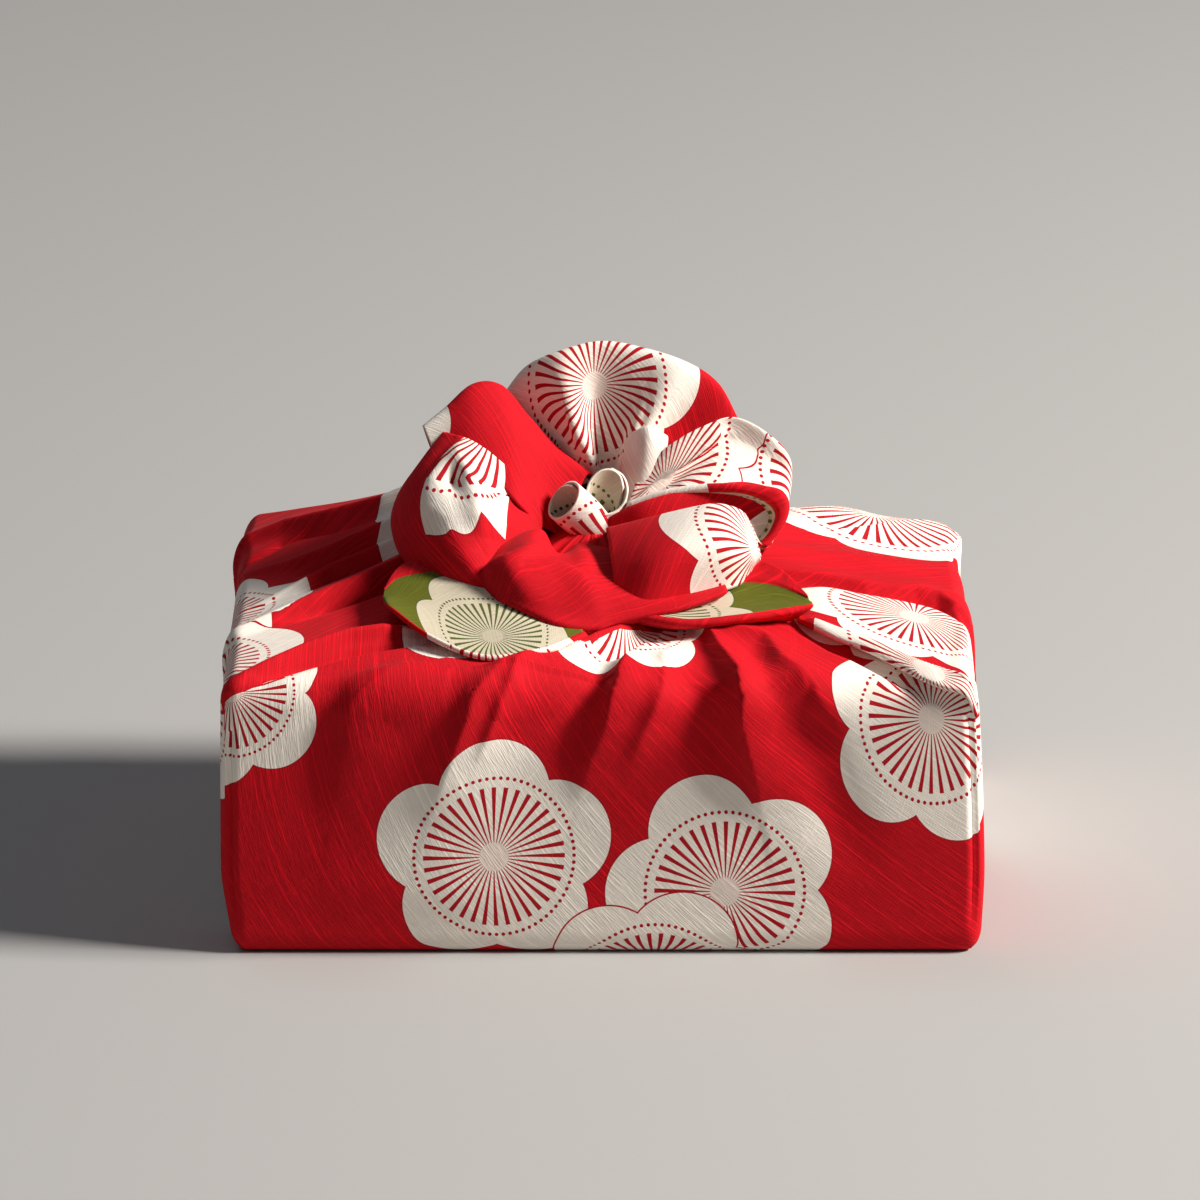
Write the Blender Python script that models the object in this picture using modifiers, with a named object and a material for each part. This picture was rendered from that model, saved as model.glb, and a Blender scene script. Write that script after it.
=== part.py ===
"""A furoshiki wrap: one square cloth round a flat box, tied on top in a flower-shaped knot.

The wrap is one hollow cloth. Its walls follow the box that it was wrapped round, its top rises
like a low tent to the knot, and pleats run from the knot over the rim and down the sides. The
knot's petals and the two loose ends are sheets of the same cloth.

Frame: metres, +Z up, the origin on the ground under the middle, the front towards -Y.
All tables are in millimetres.
"""

import math
from typing import NamedTuple

import bmesh
import bpy
import numpy as np
from mathutils import Vector

MM = 0.001

# Driving dimensions, in mm
WRAP_WIDTH = 242.0
WRAP_DEPTH = 174.0
RIM_HEIGHT = 90.0
EDGE_RADIUS = 5.0
TOP_RADIUS = 8.0
FOOT_RADIUS = 8.0
WALL = 2.6
SHEET = 1.5

# A rounding gets an edge of the cloth at this share of its radius, and the rim one at each of two
ROUNDING_SHARE = 1 / 3
RIM_EDGE_SHARE, UNDER_RIM_SHARE = 0.25, 0.6

# Pleats fade out over this height above the foot, and the tent sets in over this height at the rim
PLEAT_FADE = 20.0
TENT_BLEND = 6.0

# Pleats are several layers of cloth: the hollow's face follows only this share of their height
HOLLOW_FOLLOWS = 0.35

# The walls lean in towards the rim, and the back right corner of the top hangs lower
LEFT_LEAN = 1.0
RIGHT_LEAN = 3.5
CORNER_DROOP = 4.5
DROOP_REACH = 70.0

# The knot: where it stands on the top, and how wide its neck is
KNOT_X, KNOT_Y = -3.0, -8.0
NECK_RADIUS = 30.0

# Spacing of the cloth's own edges on the outer face and on the hollow's face, in mm
OUTER_CELL = 8.2
INNER_CELL = 17.0
FIRST_STEP = 4.5
STEP_GROWTH = 1.3

# The gap under the right flap, where the hollow opens to the outside
GAP_LENGTH, GAP_WIDTH, GAP_HEIGHT = 30.0, 2.6, 30.0
GAP_AT = (92.0, -73.0, 92.0)
GAP_TURN = math.radians(-32.0)


class NeckRise(NamedTuple):
    """How far the cloth rises from the rim to the neck, by its heading round the knot."""

    heading: float
    rise: float


NECK_RISES = (
    NeckRise(-180.0, 24.0),
    NeckRise(-135.0, 17.0),
    NeckRise(-90.0, 14.0),
    NeckRise(-40.0, 14.0),
    NeckRise(0.0, 17.0),
    NeckRise(45.0, 20.0),
    NeckRise(90.0, 25.0),
    NeckRise(135.0, 38.0),
    NeckRise(180.0, 24.0),
)


class Fold(NamedTuple):
    """A pleat on the block: its run, its height at three places, and its left and right width."""

    knot: tuple
    rim: tuple
    foot: tuple
    rise: tuple
    left: float
    right: float


FOLDS = (
    # front, from left to right
    Fold((-30, -40, 90), (-74, -87, 90), (-86, -87, 44), (2.4, 2.2, 0.4), 10, 7),
    Fold((-14, -60, 90), (-36, -87, 88), (-58, -87, 44), (2.4, 2.8, 0.5), 10, 7),
    Fold((-8, -55, 90), (-2, -87, 88), (8, -87, 58), (2.0, 1.8, 0.2), 7, 7),
    Fold((22, -48, 90), (42, -86, 90), (49, -87, 44), (3.8, 4.6, 1.0), 6, 12),
    Fold((34, -50, 90), (66, -87, 90), (78, -87, 60), (2.4, 2.0, 0.2), 8, 9),
    # front left corner: the raised band and the deep slot behind it
    Fold((-48, -44, 90), (-90, -68, 90), (-121, -87, 88), (4.2, 3.8, 1.0), 7, 9),
    Fold((-50, -32, 90), (-84, -53, 90), (-114, -68, 90), (-1.8, -1.6, -0.4), 6, 7),
    # left side
    Fold((-50, -14, 90), (-92, -28, 90), (-121, -38, 70), (3.4, 2.6, 0.6), 5, 7),
    Fold((-52, -3, 90), (-98, -8, 90), (-121, -12, 66), (-1.6, -1.2, -0.4), 6, 6),
    Fold((-54, 8, 90), (-98, 11, 90), (-121, 8, 62), (3.4, 2.8, 0.6), 7, 5),
    Fold((-56, 26, 90), (-104, 38, 90), (-121, 24, 50), (-1.6, -1.4, -0.8), 6, 6),
    Fold((-56, 34, 90), (-106, 54, 90), (-121, 52, 60), (3.0, 2.4, 0.6), 6, 6),
    # back
    Fold((-34, 28, 90), (-74, 87, 88), (-92, 87, 46), (2.8, 2.4, 0.4), 7, 6),
    Fold((-14, 34, 90), (-30, 87, 88), (-40, 87, 50), (2.2, 2.0, 0.4), 6, 8),
    Fold((4, 34, 90), (10, 87, 88), (6, 87, 56), (-1.6, -1.6, -0.2), 5, 5),
    Fold((20, 30, 90), (44, 87, 88), (54, 87, 44), (3.0, 2.8, 0.5), 9, 5),
    Fold((36, 20, 90), (90, 87, 88), (104, 87, 60), (2.4, 1.8, 0.2), 8, 7),
    # right side
    Fold((34, 10, 90), (88, 26, 90), (121, 38, 72), (2.6, 1.8, 0.4), 8, 6),
    Fold((34, 4, 90), (84, 2, 90), (121, -4, 70), (-1.6, -1.6, -0.6), 6, 7),
    Fold((36, -10, 90), (84, -22, 90), (121, -34, 66), (2.8, 2.4, 0.4), 6, 10),
    # front right corner: the flap and the shadow gap in front of it
    Fold((40, -32, 90), (80, -56, 90), (119, -82, 88), (4.2, 4.2, 1.6), 10, 7),
    Fold((48, -48, 90), (84, -70, 90), (112, -87, 88), (-1.6, -1.8, -0.6), 7, 6),
)


class Sheet(NamedTuple):
    """A sheet of the knot: rows of points across it, and how many cells it gets each way."""

    name: str
    rows: tuple
    along: int
    across: int


SHEETS = (
    # root, belly, rim, back
    Sheet("back_petal", (
        ((-12, 14, 120), (-20, 22, 136), (-31, 26, 152), (-24, 36, 124)),
        ((-9, 12, 124), (-14, 20, 145), (-24, 24, 162), (-18, 38, 128)),
        ((-6, 10, 126), (-13, 9, 150), (-15, 19, 167), (-10, 40, 130)),
        ((-2, 12, 127), (-2, 17, 149), (-1, 22, 170), (-1, 42, 132)),
        ((2, 12, 127), (9, 13, 150), (13, 21, 168), (10, 42, 130)),
        ((5, 10, 127), (16, 8, 149), (27, 18, 164), (20, 40, 126)),
        ((8, 10, 126), (23, 14, 143), (37, 18, 157), (28, 38, 122)),
        ((10, 12, 122), (29, 16, 138), (44, 21, 143), (34, 34, 118)),
    ), 14, 8),
    # front edge, trough, roll, back
    Sheet("right_petal", (
        ((6, -8, 118), (9, -3, 126), (12, 2, 133), (12, 14, 118)),
        ((17, -12, 127), (21, -2, 131), (22, 1, 142), (24, 16, 118)),
        ((27, -12, 130), (32, 2, 138), (33, 4, 147), (34, 20, 116)),
        ((42, -10, 130), (40, 5, 142), (43, 7, 148), (44, 20, 114)),
        ((52, -6, 128), (54, 2, 136), (53, 6, 143), (50, 20, 112)),
        ((58, -6, 126), (60, 0, 130), (60, 5, 136), (54, 16, 110)),
        ((58, -6, 117), (61, 0, 121), (61, 4, 126), (54, 10, 108)),
    ), 12, 8),
    # outer foot, rim, trough, lip, belly, foot
    Sheet("front_right_petal", (
        ((2, -4, 112), (0, -11, 120), (1, -15, 117), (1, -24, 121), (3, -42, 114), (5, -50, 103)),
        ((14, 0, 112), (12, -14, 127), (14, -20, 119), (15, -27, 126), (15, -47, 119), (14, -51, 103)),
        ((30, 4, 110), (29, -11, 131), (29, -20, 118), (29, -28, 130), (27, -46, 122), (26, -46, 106)),
        ((42, 4, 108), (37, -10, 132), (38, -19, 116), (37, -28, 131), (39, -42, 122), (40, -38, 106)),
        ((48, 0, 108), (47, -9, 132), (46, -19, 114), (44, -26, 128), (47, -33, 117), (46, -28, 106)),
        ((50, -4, 107), (57, -8, 128), (52, -17, 114), (49, -24, 123), (51, -28, 114), (47, -24, 106)),
        ((50, -10, 107), (58, -12, 121), (55, -17, 116), (52, -24, 117), (52, -26, 112), (46, -20, 106)),
    ), 12, 11),
    # inner, top, belly, foot, under
    Sheet("front_petal", (
        ((-34, -10, 112), (-38, -20, 119), (-39, -34, 115), (-37, -40, 106), (-30, -30, 100)),
        ((-26, -10, 116), (-29, -19, 124), (-33, -38, 118), (-31, -48, 105), (-24, -38, 98)),
        ((-20, -10, 116), (-20, -18, 126), (-26, -42, 119), (-23, -54, 103), (-18, -42, 96)),
        ((-13, -8, 110), (-15, -17, 112), (-15, -40, 119), (-13, -59, 100), (-10, -44, 94)),
        ((-8, -8, 112), (-8, -18, 120), (-6, -46, 117), (-3, -58, 99), (-2, -42, 94)),
        ((0, -10, 112), (0, -20, 119), (2, -44, 113), (6, -55, 101), (6, -42, 95)),
        ((20, -14, 108), (22, -28, 110), (24, -42, 108), (24, -52, 104), (22, -40, 97)),
        ((34, -14, 108), (36, -24, 109), (38, -36, 108), (39, -44, 107), (34, -34, 100)),
    ), 13, 9),
    # root, belly, rim, back
    Sheet("left_petal", (
        ((-22, -6, 128), (-38, -6, 142), (-52, 2, 145), (-40, 16, 120)),
        ((-20, -10, 122), (-46, -14, 136), (-59, -2, 136), (-42, 12, 112)),
        ((-20, -14, 118), (-49, -24, 129), (-66, -4, 126), (-46, 8, 106)),
        ((-22, -18, 114), (-47, -30, 122), (-68, -8, 117), (-48, 2, 100)),
        ((-24, -20, 110), (-43, -36, 115), (-63, -18, 108), (-44, -6, 98)),
        ((-26, -26, 106), (-37, -40, 108), (-50, -30, 104), (-38, -14, 98)),
        ((-24, -28, 104), (-30, -40, 103), (-36, -36, 101), (-32, -24, 98)),
    ), 11, 8),
    # front foot, crest, back
    Sheet("back_left_petal", (
        ((-54, -2, 139), (-58, 4, 147), (-52, 14, 128)),
        ((-49, -3, 141), (-51, 7, 152), (-47, 20, 126)),
        ((-42, -7, 138), (-42, 11, 159), (-40, 26, 124)),
        ((-33, -11, 132), (-33, 13, 158), (-30, 28, 122)),
        ((-27, -14, 126), (-25, 11, 149), (-20, 26, 120)),
        ((-20, -14, 120), (-16, 8, 139), (-10, 22, 118)),
        ((-13, -13, 116), (-5, 4, 131), (0, 14, 116)),
    ), 12, 8),
    # left, middle, right
    Sheet("small_fold", (
        ((6, 3, 114), (11, -2, 116), (17, 0, 114)),
        ((10, 3, 139), (16, -2, 142), (22, 0, 140)),
        ((14, 5, 147), (19, 2, 152), (24, 5, 147)),
        ((15, 12, 138), (19, 12, 140), (23, 12, 136)),
    ), 6, 5),
    # back rim, bottom of the bowl, front rim, tucked under
    Sheet("left_leaf", (
        ((-67, -49, 104), (-68, -54, 103), (-67, -58, 101), (-62, -56, 98)),
        ((-64, -38, 108), (-62, -54, 101), (-60, -68, 98), (-54, -60, 97)),
        ((-54, -32, 111), (-50, -54, 101), (-48, -74, 96), (-42, -62, 96)),
        ((-44, -32, 111), (-38, -56, 100), (-33, -79, 95), (-28, -64, 94)),
        ((-30, -26, 108), (-26, -52, 100), (-19, -72, 97), (-14, -60, 95)),
        ((-14, -20, 104), (-10, -44, 100), (-6, -62, 98), (-2, -54, 96)),
    ), 11, 8),
    # back rim, bottom of the bowl, front rim, tucked under
    Sheet("right_leaf", (
        ((10, -24, 104), (12, -40, 102), (12, -54, 102), (10, -46, 96)),
        ((26, -20, 106), (27, -42, 102), (26, -59, 101), (22, -50, 96)),
        ((42, -20, 108), (41, -40, 102), (43, -56, 102), (38, -48, 96)),
        ((54, -28, 109), (54, -40, 102), (58, -51, 102), (52, -44, 96)),
        ((64, -43, 106), (65, -45, 105), (66, -48, 103), (60, -45, 98)),
    ), 9, 8),
)


class Tip(NamedTuple):
    """A corner of the cloth rolled to a small tube, cut slantwise, that stands in the knot."""

    name: str
    root: tuple
    mouth: tuple
    radii: tuple
    slant: float


TIPS = (
    Tip("left_tip", (-4, -9, 112), (-12, -11, 125), (4.0, 5.5, 5.5), 4.0),
    Tip("right_tip", (1, -5, 112), (1, -6, 130), (4.5, 6.5, 6.0), 6.0),
)
TIP_OPENING = math.radians(30.0)
TIP_FLATNESS = 0.7
TIP_STOPS = 9
TIP_ALONG, TIP_ACROSS = 4, 10

# The wound cloth in the middle: height, half width and half depth of each ring, in mm
CORE_RINGS = ((92, 26, 30), (100, 32, 33), (108, 24, 24), (114, 14, 14), (117, 6, 7))
CORE_SIDES = 20

CLOTH_RED = (0.52, 0.006, 0.011, 1.0)
CLOTH_ROUGHNESS = 0.85

# Edges sharper than this stay crisp when the cloth is smoothed
CREASE_ANGLE = math.radians(50.0)

# How close is the same place: for a cut and the floor's height in mm, and for a weld in metres
CUT_TOLERANCE = 1e-5
FLOOR_TOLERANCE = 1e-3
FLAT_MARGIN = 0.1
WELD_DISTANCE = 2e-5


def remove_everything():
    """Empty the scene."""
    for obj in list(bpy.data.objects):
        bpy.data.objects.remove(obj, do_unlink=True)


def new_collection(name):
    """A collection of its own in the scene."""
    collection = bpy.data.collections.new(name)
    bpy.context.scene.collection.children.link(collection)
    return collection


def object_from(bm, name, collection):
    """Make an object in metres from a bmesh that is in mm."""
    bmesh.ops.scale(bm, vec=(MM, MM, MM), verts=bm.verts)
    mesh = bpy.data.meshes.new(name)
    bm.to_mesh(mesh)
    bm.free()
    obj = bpy.data.objects.new(name, mesh)
    collection.objects.link(obj)
    return obj


def guide(obj):
    """Keep a helper out of the finished part."""
    obj.hide_render = True
    obj.display_type = "WIRE"
    return obj


def smoothstep(value):
    """Ease from 0 to 1, flat at both ends."""
    value = min(max(value, 0.0), 1.0)
    return value * value * (3.0 - 2.0 * value)


def tent_rise(x, y):
    """Height of the cloth above the rim: straight from the rim to the knot's neck."""
    dx, dy = x - KNOT_X, y - KNOT_Y
    reach = math.hypot(dx, dy) + 1e-9
    edge_x = math.copysign(WRAP_WIDTH / 2, dx) - KNOT_X
    edge_y = math.copysign(WRAP_DEPTH / 2, dy) - KNOT_Y
    to_side = edge_x / dx if abs(dx) > 1e-6 else 1e6
    to_front = edge_y / dy if abs(dy) > 1e-6 else 1e6
    rim = reach * min(to_side, to_front)
    share = min(max((rim - reach) / (rim - NECK_RADIUS), 0.0), 1.0)
    headings = [row.heading for row in NECK_RISES]
    rises = [row.rise for row in NECK_RISES]
    return share * float(np.interp(math.degrees(math.atan2(dy, dx)), headings, rises))


def round_block(point):
    """Move a point of the plain block to the block with rounded edges; return it and its normal."""
    low = Vector((-WRAP_WIDTH / 2, -WRAP_DEPTH / 2, 0.0))
    high = Vector((WRAP_WIDTH / 2, WRAP_DEPTH / 2, RIM_HEIGHT))
    end_radius = TOP_RADIUS if point.z > RIM_HEIGHT / 2 else FOOT_RADIUS
    radii = (EDGE_RADIUS, EDGE_RADIUS, end_radius)
    core = Vector([min(max(p, a + r), b - r) for p, a, b, r in zip(point, low, high, radii)])
    unit = Vector([(p - c) / r for p, c, r in zip(point, core, radii)]).normalized()
    place = core + Vector([u * r for u, r in zip(unit, radii)])
    return place, Vector([u / r for u, r in zip(unit, radii)]).normalized()


def fold_height(fold, point, normal):
    """Height of one fold at a point of the rounded block."""
    best = None
    stops = [Vector(fold.knot), Vector(fold.rim), Vector(fold.foot)]
    for leg in range(2):
        start, run = stops[leg], stops[leg + 1] - stops[leg]
        along = min(max((point - start).dot(run) / run.length_squared, 0.0), 1.0)
        away = point - (start + run * along)
        if best is None or away.length < best[0].length:
            best = (away, run, leg + along)
    away, run, place = best
    side = run.cross(away).dot(normal)
    width = fold.left if side > 0 else fold.right
    height = float(np.interp(place, (0.0, 1.0, 2.0), fold.rise))
    return height * math.exp(-((away.length / width) ** 2))


def cloth_point(point, inset):
    """Where a point of the plain block lies on the cloth, or as far inside it as the inset."""
    place, normal = round_block(point)
    fold = sum(fold_height(row, place, normal) for row in FOLDS)
    if inset > 0.0 and fold > 0.0:
        fold *= HOLLOW_FOLLOWS
    grounded = smoothstep((place.z - FOOT_RADIUS) / PLEAT_FADE)
    lifted = place + normal * (fold * grounded - inset)
    on_top = smoothstep((place.z - RIM_HEIGHT + TENT_BLEND) / TENT_BLEND)
    lifted.z += (tent_rise(place.x, place.y) - corner_droop(place.x, place.y)) * on_top
    lean = RIGHT_LEAN if place.x > 0 else -LEFT_LEAN
    lifted.x -= lean * (place.z / RIM_HEIGHT) ** 2 * abs(place.x) / (WRAP_WIDTH / 2)
    return lifted


def corner_droop(x, y):
    """How far the top hangs down towards its back right corner."""
    away = math.hypot(x - WRAP_WIDTH / 2, y - WRAP_DEPTH / 2)
    return CORNER_DROOP * (1.0 - smoothstep(away / DROOP_REACH))


def spaced(half, cell):
    """Places for the cloth's edges across the block: at the edge's rounding, then evenly."""
    inner = half - EDGE_RADIUS
    count = round(2 * inner / cell)
    even = [-inner + 2 * inner * i / count for i in range(count + 1)]
    rounding = EDGE_RADIUS * ROUNDING_SHARE
    return [-half + rounding] + even + [half - rounding]


def stepped_heights(growth):
    """Heights for the cloth's edges: close under the rim, wider apart towards the foot."""
    at_rim = RIM_HEIGHT - TOP_RADIUS * RIM_EDGE_SHARE
    heights = [FOOT_RADIUS * ROUNDING_SHARE, FOOT_RADIUS, at_rim]
    height, step = RIM_HEIGHT - TOP_RADIUS * UNDER_RIM_SHARE, FIRST_STEP * growth
    while height > FOOT_RADIUS + step / 2:
        heights.append(height)
        height -= step
        step *= STEP_GROWTH
    return heights


def wrap_form(name, cell, inset, collection):
    """The wrapped box as a closed form whose faces follow the cloth."""
    half_x, half_y = WRAP_WIDTH / 2, WRAP_DEPTH / 2
    bm = bmesh.new()
    bmesh.ops.create_cube(bm, size=1.0)
    bmesh.ops.scale(bm, vec=(WRAP_WIDTH, WRAP_DEPTH, RIM_HEIGHT), verts=bm.verts)
    bmesh.ops.translate(bm, vec=(0.0, 0.0, RIM_HEIGHT / 2), verts=bm.verts)
    axes = (
        (Vector((1, 0, 0)), spaced(half_x, cell)),
        (Vector((0, 1, 0)), spaced(half_y, cell)),
        (Vector((0, 0, 1)), stepped_heights(cell / OUTER_CELL)),
    )
    for axis, places in axes:
        for place in places:
            whole = bm.verts[:] + bm.edges[:] + bm.faces[:]
            bmesh.ops.bisect_plane(bm, geom=whole, dist=CUT_TOLERANCE,
                                   plane_co=axis * place, plane_no=axis)
    floor = [f for f in bm.faces if all(v.co.z < FLOOR_TOLERANCE for v in f.verts)]
    inner_x = half_x - EDGE_RADIUS + FLAT_MARGIN
    inner_y = half_y - EDGE_RADIUS + FLAT_MARGIN
    flat = [f for f in floor
            if all(abs(v.co.x) < inner_x and abs(v.co.y) < inner_y for v in f.verts)]
    bmesh.ops.dissolve_faces(bm, faces=flat)
    for vert in bm.verts:
        vert.co = cloth_point(vert.co.copy(), inset)
    return object_from(bm, name, collection)


def between(values, share):
    """A smooth curve through evenly spaced values, read at a share of its length."""
    values = np.asarray(values, dtype=float)
    last = len(values) - 1
    place = min(max(share, 0.0), 1.0) * last
    index = min(int(place), last - 1)
    t = place - index
    before = values[index - 1] if index > 0 else 2 * values[0] - values[1]
    here, there = values[index], values[index + 1]
    after = values[index + 2] if index + 2 <= last else 2 * values[last] - values[last - 1]
    return 0.5 * (2 * here + (there - before) * t
                  + (2 * before - 5 * here + 4 * there - after) * t * t
                  + (3 * here - before - 3 * there + after) * t ** 3)


def sheet_object(sheet, collection):
    """A thick sheet that runs smoothly through its rows."""
    bm = bmesh.new()
    bmesh.ops.create_grid(bm, x_segments=sheet.along, y_segments=sheet.across, size=0.5)
    rows = np.asarray(sheet.rows, dtype=float)
    for vert in bm.verts:
        row = between(rows, vert.co.x + 0.5)
        vert.co = Vector(between(row, vert.co.y + 0.5))
    obj = object_from(bm, sheet.name, collection)
    thicken(obj, SHEET)
    return guide(obj)


def thicken(obj, thickness):
    """Give a sheet its thickness, half to each side."""
    solid = obj.modifiers.new("cloth", "SOLIDIFY")
    solid.thickness = thickness * MM
    solid.offset = 0.0


def tip_rows(tip):
    """Rows of points round a rolled tip, with its mouth slanting down towards the front."""
    root, mouth = Vector(tip.root), Vector(tip.mouth)
    axis = (mouth - root).normalized()
    toward = Vector((0.0, -1.0, 0.0))
    toward = (toward - axis * toward.dot(axis)).normalized()
    aside = axis.cross(toward)
    rows = []
    for step, radius in enumerate(tip.radii):
        share = step / (len(tip.radii) - 1)
        middle = root.lerp(mouth, share)
        arc = []
        for turn in np.linspace(TIP_OPENING / 2, math.tau - TIP_OPENING / 2, TIP_STOPS):
            forward = math.cos(turn) * TIP_FLATNESS
            point = middle + (toward * forward + aside * math.sin(turn)) * radius
            arc.append(tuple(point - axis * (tip.slant * share * math.cos(turn))))
        rows.append(tuple(arc))
    return tuple(rows)


def core_object(collection):
    """The wound cloth in the middle of the knot."""
    bm = bmesh.new()
    rings = []
    for height, half_width, half_depth in CORE_RINGS:
        ring = []
        for side in range(CORE_SIDES):
            turn = math.tau * side / CORE_SIDES
            x = KNOT_X + half_width * math.cos(turn)
            y = KNOT_Y + half_depth * math.sin(turn)
            ring.append(bm.verts.new((x, y, height)))
        rings.append(ring)
    for lower, upper in zip(rings, rings[1:]):
        for side in range(CORE_SIDES):
            after = (side + 1) % CORE_SIDES
            bm.faces.new((lower[side], lower[after], upper[after], upper[side]))
    bm.faces.new(list(reversed(rings[0])))
    bm.faces.new(rings[-1])
    return guide(object_from(bm, "knot_core", collection))


def gap_object(collection):
    """The cutter of the narrow gap under the right flap."""
    bm = bmesh.new()
    bmesh.ops.create_cube(bm, size=1.0)
    bmesh.ops.scale(bm, vec=(GAP_LENGTH, GAP_WIDTH, GAP_HEIGHT), verts=bm.verts)
    gap = object_from(bm, "flap_gap", collection)
    gap.location = Vector(GAP_AT) * MM
    gap.rotation_euler.z = GAP_TURN
    return guide(gap)


def combine(obj, operation, operands):
    """Join a collection to an object, or cut it out of the object."""
    step = obj.modifiers.new(operation.lower(), "BOOLEAN")
    step.operation = operation
    step.operand_type = "COLLECTION"
    step.collection = operands
    step.solver = "EXACT"
    step.use_self = operation == "UNION"


def settle(obj):
    """Make the modifiers' result the object's own mesh, without closed pockets between layers."""
    graph = bpy.context.evaluated_depsgraph_get()
    mesh = bpy.data.meshes.new_from_object(obj.evaluated_get(graph))
    obj.modifiers.clear()
    bm = bmesh.new()
    bm.from_mesh(mesh)
    bmesh.ops.remove_doubles(bm, verts=bm.verts, dist=WELD_DISTANCE)
    seen, shells = set(), []
    for seed in bm.faces:
        if seed in seen:
            continue
        shell, queue = [], [seed]
        seen.add(seed)
        while queue:
            face = queue.pop()
            shell.append(face)
            for edge in face.edges:
                for other in edge.link_faces:
                    if other not in seen:
                        seen.add(other)
                        queue.append(other)
        shells.append(shell)
    shells.sort(key=len)
    pockets = [face for shell in shells[:-1] for face in shell]
    bmesh.ops.delete(bm, geom=pockets, context="FACES")
    bm.to_mesh(mesh)
    bm.free()
    obj.data = mesh


def centre_on_ground(obj):
    """Put the middle of the part's box over the origin."""
    corners = np.array([vert.co for vert in obj.data.vertices])
    middle = (corners.min(axis=0) + corners.max(axis=0)) / 2
    offset = Vector((middle[0], middle[1], corners[:, 2].min()))
    for vert in obj.data.vertices:
        vert.co -= offset


def cloth_material():
    """Dull red slub cotton."""
    material = bpy.data.materials.new("red_cotton")
    material.use_nodes = True
    shader = material.node_tree.nodes["Principled BSDF"]
    shader.inputs["Base Color"].default_value = CLOTH_RED
    shader.inputs["Roughness"].default_value = CLOTH_ROUGHNESS
    shader.inputs["Metallic"].default_value = 0.0
    material.diffuse_color = CLOTH_RED
    return material


def main():
    """Build the wrap."""
    remove_everything()
    part = new_collection("furoshiki_wrap")
    knot = new_collection("knot_pieces")
    hollow = new_collection("hollow_pieces")
    cloth = wrap_form("furoshiki_cloth", OUTER_CELL, 0.0, part)
    core_object(knot)
    for sheet in SHEETS:
        sheet_object(sheet, knot)
    for tip in TIPS:
        sheet_object(Sheet(tip.name, tip_rows(tip), TIP_ALONG, TIP_ACROSS), knot)
    combine(cloth, "UNION", knot)
    guide(wrap_form("hollow", INNER_CELL, WALL, hollow))
    gap_object(hollow)
    combine(cloth, "DIFFERENCE", hollow)
    settle(cloth)
    centre_on_ground(cloth)
    cloth.data.materials.clear()
    cloth.data.materials.append(cloth_material())
    cloth.data.shade_smooth()
    cloth.data.set_sharp_from_angle(angle=CREASE_ANGLE)


main()
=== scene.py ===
"""A furoshiki wrap on a pale floor: printed slub cotton round a box, tied in a flower-shaped knot.

The frame is in metres and all tables are in millimetres. The wrapped body is one skin that runs
from under the box up the sides and over the top to the knot's neck. The knot is made of sheets of
the same cloth, each with its printed face and its olive reverse.
"""

import logging
import math
from dataclasses import dataclass, field
from enum import Enum
from typing import Any, NamedTuple

import bpy
import numpy as np
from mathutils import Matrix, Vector


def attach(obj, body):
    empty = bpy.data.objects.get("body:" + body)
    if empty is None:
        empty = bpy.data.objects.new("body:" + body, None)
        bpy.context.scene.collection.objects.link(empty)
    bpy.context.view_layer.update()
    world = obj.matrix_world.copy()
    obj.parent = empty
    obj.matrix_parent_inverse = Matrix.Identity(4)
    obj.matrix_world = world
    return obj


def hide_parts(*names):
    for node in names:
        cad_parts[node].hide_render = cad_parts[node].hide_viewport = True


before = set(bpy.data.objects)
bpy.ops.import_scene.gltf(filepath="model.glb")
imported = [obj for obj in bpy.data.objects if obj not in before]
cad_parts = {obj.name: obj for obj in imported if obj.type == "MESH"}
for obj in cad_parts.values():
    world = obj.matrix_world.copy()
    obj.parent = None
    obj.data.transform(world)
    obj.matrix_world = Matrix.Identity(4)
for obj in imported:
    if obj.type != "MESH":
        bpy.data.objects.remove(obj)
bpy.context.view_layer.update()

logging.basicConfig(level=logging.INFO, format="%(message)s")
log = logging.getLogger("furoshiki")

MM = 0.001
CLOTH_NODE = "furoshiki_cloth"
BODY = "root"

# The model stands centred on its own box: this moves the tables' places onto it, in mm
CENTRED_BY = np.array((0.07, 0.89, 0.0))

# The middle of the knot on the plan, in mm
KNOT_PLACE = (-3.0, -8.0)

# The photograph's width and height, in pixels
PHOTO_SIZE = 1200.0

# No blossom of the print reaches this far, in mm
FAR_AWAY = 999.0

# A plain cream place in a blossom's own coordinates, outside its ring of dots, in mm
PALE_PLACE = (0.0, 31.0)

# The corners of a grid's face as steps down and along the grid, for the skin and for the sheets
SKIN_ORDER = ((0, 0), (0, 1), (1, 1), (1, 0))
SHEET_ORDER = ((0, 0), (1, 0), (1, 1), (0, 1))

# The kinds of node that the materials use most
MATH = "ShaderNodeMath"
VECTOR_MATH = "ShaderNodeVectorMath"
MAP_RANGE = "ShaderNodeMapRange"
NOISE = "ShaderNodeTexNoise"


class Side(Enum):
    """The two sides of the cloth, numbered as their material slots."""

    FACE = 0
    REVERSE = 1


class Panel(Enum):
    """The four sides of the wrapped box, in their order round it."""

    FRONT = 0
    RIGHT = 1
    BACK = 2
    LEFT = 3


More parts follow.
